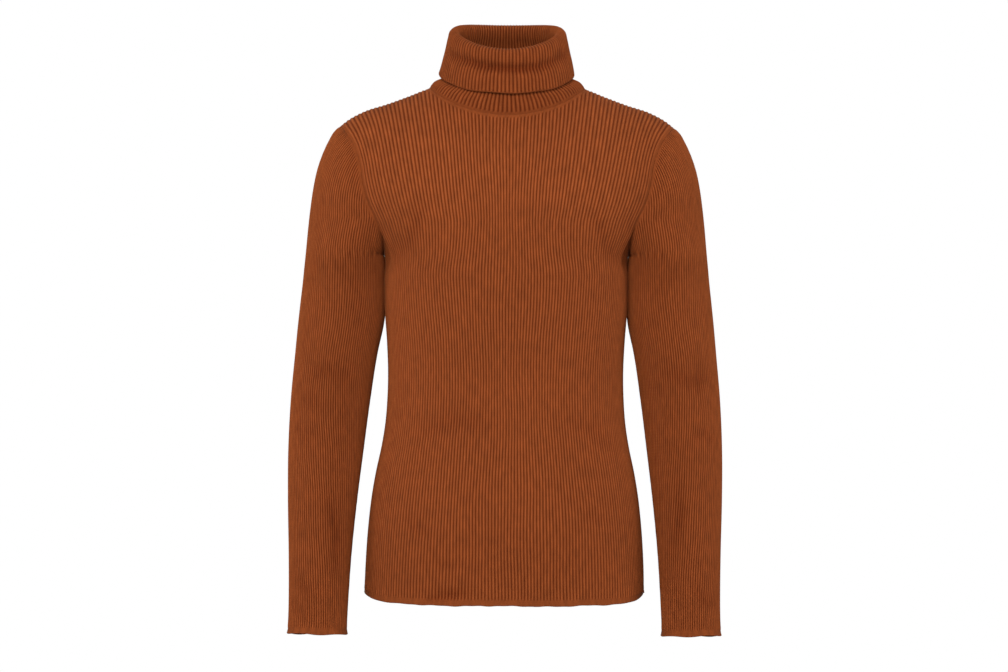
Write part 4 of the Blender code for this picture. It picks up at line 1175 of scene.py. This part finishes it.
@dataclass
class SetInSleeve:
    """A sleeve as sewn: ribs from the cap to the cuff, the underarm seam, creases and its wall."""

    name: str
    form: SleeveForm
    cloth: RibCloth
    creases: tuple[Crease, ...]
    flat: tuple[float, float]
    flat_area: float
    mirrored: bool
    ribs_half: int = 57
    middle_rows: int = 62
    cap_rows: tuple[float, ...] = (0.0, 1.2, 2.4, 3.6, 4.9, 6.3, 8.0, 11.0, 16.0)
    cuff_rows: tuple[float, ...] = (20.0, 14.0, 10.5, 8.4, 7.0, 5.8, 4.6, 3.4, 2.0, 1.0, 0.45, 0.0)
    armhole_plain: tuple[float, float, float] = (2.2, 4.8, 0.5)
    seam_plain: tuple[float, float] = (0.4, 4.0)
    cuff_plain: tuple[float, float] = (6.6, 9.8)

    def rows(self, length: Array) -> Array:
        """How far down each rib its points are: set distances from both ends, and even between."""
        scale = np.minimum(1.0, length / 90.0)[None, :]
        first = np.array(self.cap_rows)[:, None] * scale
        last = length[None, :] - np.array(self.cuff_rows)[:, None] * scale
        t = np.linspace(0, 1, self.middle_rows + 2)[1:-1, None]
        middle = first[-1:] * (1 - t) + last[:1] * t
        return np.concatenate([first, middle, last])

    def edges(self) -> EdgeWork:
        """The armhole on both halves, and the underarm seam."""
        form, bands = self.form, []
        place = np.linspace(0, 1, 380)
        plain, full, roll = self.armhole_plain
        flat_under = 1 - blend(0.55, 0.85, place)
        for side in Side:
            out = form.armhole.out(side, place, -1.0)
            seam = form.armhole.at(side, place)
            bands.append(Band(seam, out, plain, full, roll * flat_under))
        seam = form(np.ones(600), np.linspace(form.cuff, form.underarm, 600))
        plain, full = self.seam_plain
        out = np.tile([-1.0, 0.0, 0.0], (len(seam), 1))
        bands.append(Band(seam, out, plain, full, np.zeros(len(seam))))
        return EdgeWork(bands)

    def drift(self, rib: Array, height: Array, below: Array) -> Array:
        """How far the ribs wander sideways: two slow sines, none at the armhole and the seam."""
        free = blend(5, 50, below) * (1 - rib**4)
        turn = 1.3 if self.mirrored else 0.0
        slow = np.sin(2 * np.pi * (height / 171 + rib * 1.7) + 0.4 + turn)
        quick = np.sin(2 * np.pi * (height / 83 - rib * 2.9) + 1.7 - turn)
        return free * (0.6 * slow + 0.4 * quick) * 0.3 / self.ribs_half

    def build(self) -> bpy.types.Object:
        """Makes the sleeve: a fine ribbed outside, a coarser inside, rims at armhole and cuff."""
        form, cloth = self.form, self.cloth
        half = cloth.points_per_rib * self.ribs_half
        number = np.arange(-half, half + 1)
        rib = number / half
        top, bottom = form.ends(rib)
        height = top[None, :] - self.rows(top - bottom)
        ribs_at = np.broadcast_to(rib[None, :], height.shape)
        share = form.share(ribs_at, height) + self.drift(ribs_at, height, top - height)
        share = np.where(np.abs(number)[None, :] == half, np.sign(ribs_at), share)
        plain, own = form(share, height), form.normal(share, height)
        edges = self.edges()
        out, ribs, relief = edges.apply(plain, own)
        from_cuff = np.maximum(height - form.cuff, 0)
        ribs = ribs * blend(*self.cuff_plain, from_cuff)
        girth = np.interp(height, *self.girths())
        sideways = share * girth
        around = share * np.pi
        relief = relief + 0.4 * (1 - blend(*self.cuff_plain, from_cuff))
        flare = lobes(around, (0.9, 2, 0.2), (0.7, 3, 0.6), (0.4, 7, 0.1))
        relief = relief + (1.2 * flare + 1.6) * np.exp(-from_cuff / 7.0)
        fade = edges.away(plain, (0, 6, 30), (1, 6, 30))
        fade = fade * blend(1.0, 0.9, np.abs(share))
        folds = sum(crease.relief(sideways, height) for crease in self.creases) * fade
        relief = relief + folds
        profile = cloth.profile(ribs_at * self.ribs_half)
        base = plain + out * relief[..., None]
        drop = lobes(around, (0.8, 2, 0.45), (0.6, 5, 0.1))
        base[..., 2] += drop * np.exp(-from_cuff / 7.0)
        base[0] += part_way(base[0], base[1] - base[0], cloth.seam_gap)
        rounding = cloth.rounding(from_cuff)
        outside, inside = cloth.faces(base, out, ribs, profile, rounding)
        # Painted shade: darker in the rib grooves and down in the crease troughs.
        tone = cloth.tone(ribs, profile, folds)

        shell = Shell()
        step = cloth.inner_step
        outer_ids = shell.add(outside, tone)
        coarse = shell.add(inside[:, ::step], cloth.inner_tone(ribs[:, ::step]))
        at_cuff = bottom <= form.cuff + 1e-6
        for ids, ends_at_cuff in ((outer_ids, at_cuff), (coarse, at_cuff[::step])):
            ids[:, 0] = ids[0, 0]
            ids[:, -1] = ids[0, 0]
            shut = np.flatnonzero(~ends_at_cuff)
            first = np.flatnonzero(ends_at_cuff)[0]
            left = shut[shut < first]
            ids[-1, ids.shape[1] - 1 - left] = ids[-1, left]
            ids[-1, ids.shape[1] - 1 - first] = ids[-1, first]
        at = np.stack([ribs_at * self.ribs_half, height / cloth.stitch], axis=-1)
        shell.grid(outer_ids, at)
        shell.grid(coarse, at[:, ::step])
        expanded = cloth.spread(coarse, 2 * half + 1)
        for r in (0, -1):
            columns = slice(None) if r == 0 else at_cuff
            shell.rim(outer_ids[r, columns], expanded[r, columns], at[r, columns])
        return shell.build(self.name, self.mirrored)

    def girths(self) -> tuple[Array, Array]:
        """Half the girth of the sleeve at each height, as rising heights and lengths."""
        height = np.linspace(self.form.cuff, self.form.top, 120)
        share = np.linspace(0, 1, 40)
        points = self.form(share[None, :], height[:, None])
        return height, np.linalg.norm(np.diff(points, axis=1), axis=2).sum(axis=1)


@dataclass
class RollNeck:
    """The roll neck as sewn: one ribbed wall, folded over itself to a free edge."""

    name: str
    form: CollarForm
    cloth: RibCloth
    creases: tuple[Crease, ...]
    flat: tuple[float, float]
    flat_area: float
    ribs: int = 108
    rows: int = 72
    seam_plain: tuple[float, float, float] = (2.2, 4.6, 1.0)
    edge_plain: tuple[float, float] = (0.3, 1.6)
    crease_radius: float = 80.0
    # The share of a collar crease's depth that is painted as shade in its trough.
    trough_shade_share: float = 0.65
    fold_ring: int = 7

    def build(self) -> bpy.types.Object:
        """Makes the roll neck: both faces ribbed, and rims at the seam and the free edge."""
        form, cloth = self.form, self.cloth
        count = cloth.points_per_rib * self.ribs
        angle = np.linspace(0, 2 * np.pi, count + 1)
        along = np.linspace(0, 1, self.rows)
        fine = np.array([0.006, 0.012])
        along = np.unique(np.concatenate([along, fine, 1 - fine / 2]))
        turn, way = np.broadcast_arrays(angle[None, :], along[:, None])
        middle, out = form(turn, way), form.normal(turn, way)
        steps = np.linalg.norm(np.diff(middle, axis=0), axis=2)
        run = np.concatenate([np.zeros((1, count + 1)), np.cumsum(steps, axis=0)])
        from_seam, from_edge = run, run[-1:] - run
        plain, full, roll = self.seam_plain
        ribs = blend(plain, full, from_seam) * blend(*self.edge_plain, from_edge)
        welt = (1 - blend(plain * 0.45, full, from_seam)) * roll
        wave = lobes(turn, (0.7, 3, 0.1), (0.5, 5, 0.4), (0.3, 11, 0.0))
        base = middle - out * (wave * np.exp(-from_edge / 9.0))[..., None]
        drop = lobes(turn, (0.6, 4, 0.3), (0.4, 9, 0.6))
        base[..., 2] += drop * np.exp(-from_edge / 8.0)
        around = (np.remainder(turn + np.pi, 2 * np.pi) - np.pi) * self.crease_radius
        fold = form.places[self.fold_ring]
        relief = sum(crease.relief(around, middle[..., 2]) for crease in self.creases)
        relief = relief * blend(fold, fold + 0.05, way)
        base -= out * relief[..., None]
        profile = cloth.profile(turn / (2 * np.pi) * self.ribs)
        rounding = cloth.rounding(from_edge)
        shell, faces = Shell(), []
        at = np.stack([turn / (2 * np.pi) * self.ribs, run / cloth.stitch], axis=-1)
        for face in (1, -1):
            shape = profile if face == 1 else cloth.profile(turn / (2 * np.pi) * self.ribs + 0.5)
            raised = ribs * shape * cloth.rib_height + cloth.wall / 2 - rounding
            if face == 1:
                raised = raised + welt
            # Painted shade: darker in the rib grooves, and down in the creases of the turned-down
            # layer.
            tone = cloth.tone(ribs, shape, relief * (face < 0) * self.trough_shade_share)
            ids = shell.add(base + out * (face * raised)[..., None], tone)
            ids[:, -1] = ids[:, 0]
            shell.grid(ids, at + (0.0 if face == 1 else 0.5))
            faces.append(ids)
        for r in (0, -1):
            shell.rim(faces[0][r], faces[1][r], at[r])
        return shell.build(self.name)


# Finishes


@dataclass(frozen=True)
class RibKnit:
    """Rust-brown wool rib knit: painted shade in the grooves and crease troughs, fine stitches, uneven
    dye and a soft fuzz.
    """

    # The ridge colour is the yarn's own; the groove colour is the same yarn with painted shade.
    ridge_colour: tuple[float, float, float] = (0.272, 0.0670, 0.0170)
    groove_shade_colour: tuple[float, float, float] = (0.096, 0.0140, 0.0014)
    roughness: float = 0.88
    sheen: float = 0.07
    sheen_roughness: float = 0.42
    sheen_colour: tuple[float, float, float] = (0.85, 0.45, 0.2)
    specular: float = 0.08
    streaks: float = 0.7

    def material(self, name: str) -> bpy.types.Material:
        """Makes the finish.

        The colour goes from the groove's painted shade to the ridge's own colour by the mesh's ridge
        value, which also holds painted shade in the crease troughs. It is then made lighter and darker
        by a broad noise for the dye, streaks along the ribs and a fine noise for the yarn. The bump is
        the sine of the stitches, bent into a V over each rib, with a fine noise for the fibres.

        Args:
            name: the material's name.

        Returns:
            The material.
        """
        material = bpy.data.materials.new(name)
        material.use_nodes = True
        tree = material.node_tree
        nodes, links = tree.nodes, tree.links
        shader = nodes["Principled BSDF"]
        shader.inputs["Roughness"].default_value = self.roughness
        shader.inputs["Specular IOR Level"].default_value = self.specular
        shader.inputs["Sheen Weight"].default_value = self.sheen
        shader.inputs["Sheen Roughness"].default_value = self.sheen_roughness
        shader.inputs["Sheen Tint"].default_value = (*self.sheen_colour, 1.0)

        def maths(kind: str, first: object, second: object = None) -> bpy.types.NodeSocket:
            """One step of arithmetic on sockets or numbers."""
            node = nodes.new("ShaderNodeMath")
            node.operation = kind
            for socket, value in zip(node.inputs, (first, second)):
                if isinstance(value, (int, float)):
                    socket.default_value = value
                elif value is not None:
                    links.new(value, socket)
            return node.outputs[0]

        def mixed(kind: str, amount: object, first: object, second: object) -> bpy.types.NodeSocket:
            """One mix of two colours, each a socket or a plain colour."""
            node = nodes.new("ShaderNodeMix")
            node.data_type, node.blend_type = "RGBA", kind
            for socket, value in ((0, amount), (6, first), (7, second)):
                if isinstance(value, bpy.types.NodeSocket):
                    links.new(value, node.inputs[socket])
                elif isinstance(value, tuple):
                    node.inputs[socket].default_value = (*value, 1.0)
                else:
                    node.inputs[socket].default_value = value
            return node.outputs[2]

        place = nodes.new("ShaderNodeTexCoord").outputs["Object"]

        def noise(scale: float, detail: float) -> bpy.types.NodeSocket:
            """Soft noise in the piece's own space."""
            node = nodes.new("ShaderNodeTexNoise")
            node.inputs["Scale"].default_value = scale
            node.inputs["Detail"].default_value = detail
            links.new(place, node.inputs["Vector"])
            return node.outputs["Fac"]

        ridge = nodes.new("ShaderNodeAttribute")
        ridge.attribute_name = "ridge"
        knit = nodes.new("ShaderNodeUVMap")
        knit.uv_map = "Knit"
        apart = nodes.new("ShaderNodeSeparateXYZ")
        links.new(knit.outputs[0], apart.inputs[0])
        lean = maths("ABSOLUTE", maths("SUBTRACT", maths("FRACT", apart.outputs[0]), 0.5))
        stitch = maths("ADD", apart.outputs[1], maths("MULTIPLY", lean, 0.9))
        stitch = maths("SINE", maths("MULTIPLY", stitch, 2 * np.pi))

        streak = nodes.new("ShaderNodeTexNoise")
        streak.inputs["Scale"].default_value = 1.0
        streak.inputs["Detail"].default_value = 2.0
        run = nodes.new("ShaderNodeCombineXYZ")
        links.new(maths("MULTIPLY", apart.outputs[0], 0.83), run.inputs[0])
        links.new(maths("MULTIPLY", apart.outputs[1], 0.11), run.inputs[1])
        links.new(run.outputs[0], streak.inputs["Vector"])

        dye = noise(11.0, 3.0)
        yarn = noise(1300.0, 2.0)
        # Painted shade: the groove colour darkens the rib grooves and the crease troughs, by the ridge
        # value.
        colour = mixed("MIX", ridge.outputs["Fac"], self.groove_shade_colour, self.ridge_colour)
        shade = maths("ADD", maths("MULTIPLY", dye, 0.22), 0.89)
        shade = maths("MULTIPLY", shade, maths("ADD", maths("MULTIPLY", yarn, 0.36), 0.82))
        shade = maths("MULTIPLY", shade, maths("ADD", maths("MULTIPLY", stitch, 0.045), 1.0))
        streaks = maths("MULTIPLY", streak.outputs["Fac"], self.streaks)
        shade = maths("MULTIPLY", shade, maths("ADD", streaks, 1 - self.streaks / 2))
        grey = nodes.new("ShaderNodeCombineColor")
        for socket in grey.inputs:
            links.new(shade, socket)
        colour = mixed("MULTIPLY", 1.0, colour, grey.outputs[0])
        links.new(colour, shader.inputs["Base Color"])

        height = maths("ADD", maths("MULTIPLY", stitch, 0.5), maths("MULTIPLY", yarn, 1.0))
        bump = nodes.new("ShaderNodeBump")
        bump.inputs["Strength"].default_value = 0.5
        bump.inputs["Distance"].default_value = 0.00022
        links.new(height, bump.inputs["Height"])
        links.new(bump.outputs[0], shader.inputs["Normal"])
        return material


# The studio


@dataclass
class Studio:
    """The camera, the soft lights and a white surround, which is brightest straight behind."""

    camera_place: tuple[float, float, float] = (-0.0024, -3.2, -0.321)
    camera_roll: float = -0.0056
    lens: float = 87.9
    surround: float = 0.30
    behind: tuple[float, float] = (0.80, 0.93)

    def camera(self) -> None:
        """The camera, square to the front and leaning by a third of a degree, as in the photo."""
        data = bpy.data.cameras.new("camera")
        data.lens, data.sensor_width = self.lens, 36.0
        data.clip_end = 50.0
        camera = bpy.data.objects.new("camera", data)
        camera.location = self.camera_place
        camera.rotation_euler = (np.pi / 2, self.camera_roll, 0.0)
        bpy.context.scene.collection.objects.link(camera)
        bpy.context.scene.camera = camera

    def light(
        self, name: str, place: tuple, aim: tuple, size: tuple, spread: float, power: float
    ) -> None:
        """One soft box.

        Args:
            name: its name.
            place: where it stands.
            aim: the point that it faces.
            size: its width and height.
            spread: how wide it shines, in radians.
            power: in watts.
        """
        data = bpy.data.lights.new(name, "AREA")
        data.shape, data.size, data.size_y = "RECTANGLE", *size
        data.energy, data.spread = power, spread
        lamp = bpy.data.objects.new(name, data)
        lamp.location = place
        way = Vector(aim) - Vector(place)
        lamp.rotation_euler = way.to_track_quat("-Z", "Y").to_euler()
        bpy.context.scene.collection.objects.link(lamp)

    def white(self) -> None:
        """The white surround: full white straight behind, and less all round it."""
        world = bpy.data.worlds.new("studio")
        world.use_nodes = True
        nodes, links = world.node_tree.nodes, world.node_tree.links
        apart = nodes.new("ShaderNodeSeparateXYZ")
        links.new(nodes.new("ShaderNodeTexCoord").outputs["Generated"], apart.inputs[0])
        level = nodes.new("ShaderNodeMapRange")
        level.interpolation_type = "SMOOTHSTEP"
        values = (*self.behind, self.surround, 1.0)
        for name, value in zip(("From Min", "From Max", "To Min", "To Max"), values):
            level.inputs[name].default_value = value
        links.new(apart.outputs[1], level.inputs["Value"])
        sky = nodes["Background"]
        sky.inputs["Color"].default_value = (1.0, 1.0, 1.0, 1.0)
        links.new(level.outputs[0], sky.inputs["Strength"])
        bpy.context.scene.world = world

    def build(self) -> None:
        """Sets up the studio."""
        self.camera()
        self.white()
        self.light("key", (-0.35, -2.7, 0.7), (0.0, 0.0, -0.30), (1.1, 1.1), 0.86, 6.8)
        self.light("fill", (0.6, -2.9, 0.1), (0.0, 0.0, -0.32), (1.2, 1.4), 1.5, 2.9)
        self.light("top", (0.0, 0.3, 2.0), (0.0, 0.2, 0.0), (1.6, 1.2), 2.6, 6.0)
        for name, turn in (("side_left", 1), ("side_right", -1)):
            self.light(name, (turn * 2.2, -0.5, -0.1), (0.0, 0.0, -0.3), (0.8, 1.6), 2.0, 7.0)
        settings = bpy.context.scene.view_settings
        settings.view_transform, settings.look = "Standard", "None"


# The garment


@dataclass
class Sweater:
    """The whole sweater: its forms, its cloth and its five sewn pieces."""

    cloth: RibCloth = field(default_factory=RibCloth)
    finish: RibKnit = field(default_factory=RibKnit)
    # Painted shade: the same knit in darker colours for the roll neck, standing in for the lower light
    # it gets.
    collar_shaded_finish: RibKnit = field(
        default_factory=lambda: RibKnit((0.241, 0.0575, 0.0140), (0.0845, 0.0118, 0.0011))
    )
    armhole: Armhole = field(default_factory=Armhole)
    neck: NeckLine = field(default_factory=NeckLine)

    front_creases: tuple[Crease, ...] = (
        Crease(((-104, -655), (-74, -648), (-38, -642)), -2.4, 6.0),
        Crease(((-128, -548), (-112, -566), (-90, -574)), -1.2, 5.0),
        Crease(((-96, -598), (-78, -610), (-56, -604)), -1.0, 5.0),
        Crease(((88, -560), (108, -548), (132, -556)), -1.1, 5.5),
        Crease(((-30, -656), (-8, -641), (22, -633)), 1.2, 8.0),
        Crease(((-120, -452), (-66, -428), (-6, -436)), -1.1, 11.0),
        Crease(((-20, -462), (40, -446), (100, -466)), 1.0, 11.0),
        Crease(((142, -470), (112, -440), (66, -424)), -1.1, 9.0),
        Crease(((-146, -500), (-116, -470), (-78, -462)), 1.0, 9.0),
        Crease(((-150, -232), (-120, -196), (-104, -150)), -1.3, 9.0),
        Crease(((150, -238), (124, -200), (112, -158)), -1.2, 9.0),
    )
    back_creases: tuple[Crease, ...] = (
        Crease(((60, -650), (44, -630), (10, -616)), -1.5, 9.0),
        Crease(((-100, -455), (-20, -434), (62, -448)), -1.6, 12.0),
        Crease(((-60, -418), (10, -406), (90, -426)), 1.3, 12.0),
        Crease(((-70, -492), (0, -480), (76, -494)), 1.1, 12.0),
        Crease(((-140, -240), (-90, -205), (-60, -150)), -1.2, 12.0),
        Crease(((138, -236), (94, -200), (66, -156)), -1.1, 12.0),
    )
    left_creases: tuple[Crease, ...] = (
        Crease(((-105, -362), (-70, -380), (-34, -372)), -1.6, 9.0),
        Crease(((-98, -394), (-60, -408), (-18, -400)), 1.2, 9.0),
        Crease(((-62, -330), (-56, -380), (-66, -430)), -1.0, 7.0),
        Crease(((96, -352), (60, -372), (22, -366)), -1.6, 10.0),
        Crease(((90, -384), (52, -402), (18, -392)), 1.2, 9.0),
        Crease(((-60, -640), (-34, -664), (-10, -660)), -1.5, 7.0),
        Crease(((-70, -662), (-46, -682), (-18, -684)), 1.1, 6.0),
        Crease(((-84, -500), (-78, -556), (-86, -610)), -1.6, 7.0),
        Crease(((-26, -462), (-50, -446), (-74, -452)), -1.3, 5.0),
        Crease(((50, -648), (28, -668), (6, -662)), -1.2, 7.0),
        Crease(((-114, -268), (-92, -250), (-78, -226)), -0.7, 6.0),
    )
    right_creases: tuple[Crease, ...] = (
        Crease(((-110, -384), (-78, -366), (-40, -376)), -1.5, 9.0),
        Crease(((-92, -418), (-52, -404), (-24, -412)), -1.1, 10.0),
        Crease(((-40, -318), (-46, -372), (-36, -424)), 1.0, 8.0),
        Crease(((98, -366), (62, -354), (26, -372)), -1.5, 9.0),
        Crease(((84, -398), (48, -390), (14, -404)), 1.2, 10.0),
        Crease(((-20, -622), (-44, -650), (-66, -656)), -1.6, 7.0),
        Crease(((-12, -660), (-38, -680), (-60, -680)), -1.2, 6.0),
        Crease(((-78, -520), (-86, -580), (-80, -640)), -2.0, 7.0),
        Crease(((-30, -440), (-52, -452), (-70, -448)), -1.4, 5.0),
        Crease(((44, -632), (24, -656), (4, -652)), -1.2, 7.0),
        Crease(((-118, -262), (-96, -246), (-82, -222)), -0.7, 6.0),
    )
    collar_creases: tuple[Crease, ...] = (
        Crease(((-112, 46), (-62, 31), (-26, 21), (12, 18), (44, 22), (78, 34), (112, 44)), -5.0, 5.8),
        Crease(((-115, 54), (-60, 44), (4, 37), (62, 45), (112, 55)), 1.6, 7.0),
        Crease(((-90, 16), (-42, 6), (6, 3), (52, 7), (96, 20)), 1.4, 8.0),
        Crease(((-236, 60), (-190, 54), (-140, 44)), -2.4, 7.0),
        Crease(((146, 46), (196, 58), (240, 66)), -2.2, 7.0),
        Crease(((-232, 76), (-184, 70), (-136, 58)), 1.2, 7.0),
    )

    def pieces(self) -> list:
        """The five pieces in the order in which they are sewn."""
        forms = {side: PanelForm(side, self.armhole, self.neck) for side in Side}
        sleeve = SleeveForm(self.armhole)
        collar = CollarForm(self.neck, forms, self.cloth.wall, self.cloth.seam_gap)
        cloth, sleeve_cut = self.cloth, ((0.36, 0.66), 0.182)
        return [
            BodyPanel("front", forms[Side.FRONT], cloth, self.front_creases, (0.48, 0.66), 0.285),
            BodyPanel("back", forms[Side.BACK], cloth, self.back_creases, (0.48, 0.68), 0.285),
            SetInSleeve("sleeve_left", sleeve, cloth, self.left_creases, *sleeve_cut, False),
            SetInSleeve("sleeve_right", sleeve, cloth, self.right_creases, *sleeve_cut, True),
            RollNeck("collar", collar, cloth, self.collar_creases, (0.54, 0.152), 0.075),
        ]

    def build(self) -> None:
        """Makes, dresses and declares each piece."""
        for piece in self.pieces():
            node = piece.name
            piece.name = f"{node}_cloth"
            made = piece.build()
            # The roll neck gets the painted-shade copy of the knit.
            finish = self.collar_shaded_finish if node == "collar" else self.finish
            made.data.materials.append(finish.material(f"{node}_rib_knit"))
            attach(made, "root")
            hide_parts(node)
            corners = np.array(made.bound_box)
            low, high, count = corners.min(0), corners.max(0), len(made.data.polygons)
            LOG.info("%s: %d triangles, from %s to %s", made.name, count, low, high)


def main() -> None:
    """Builds the studio and the sweater."""
    logging.basicConfig(level=logging.INFO, format="%(name)s: %(message)s")
    Studio().build()
    LOG.info("studio: camera, five soft boxes and a white surround")
    Sweater().build()


if __name__ == "__main__":
    main()
    bpy.context.view_layer.update()
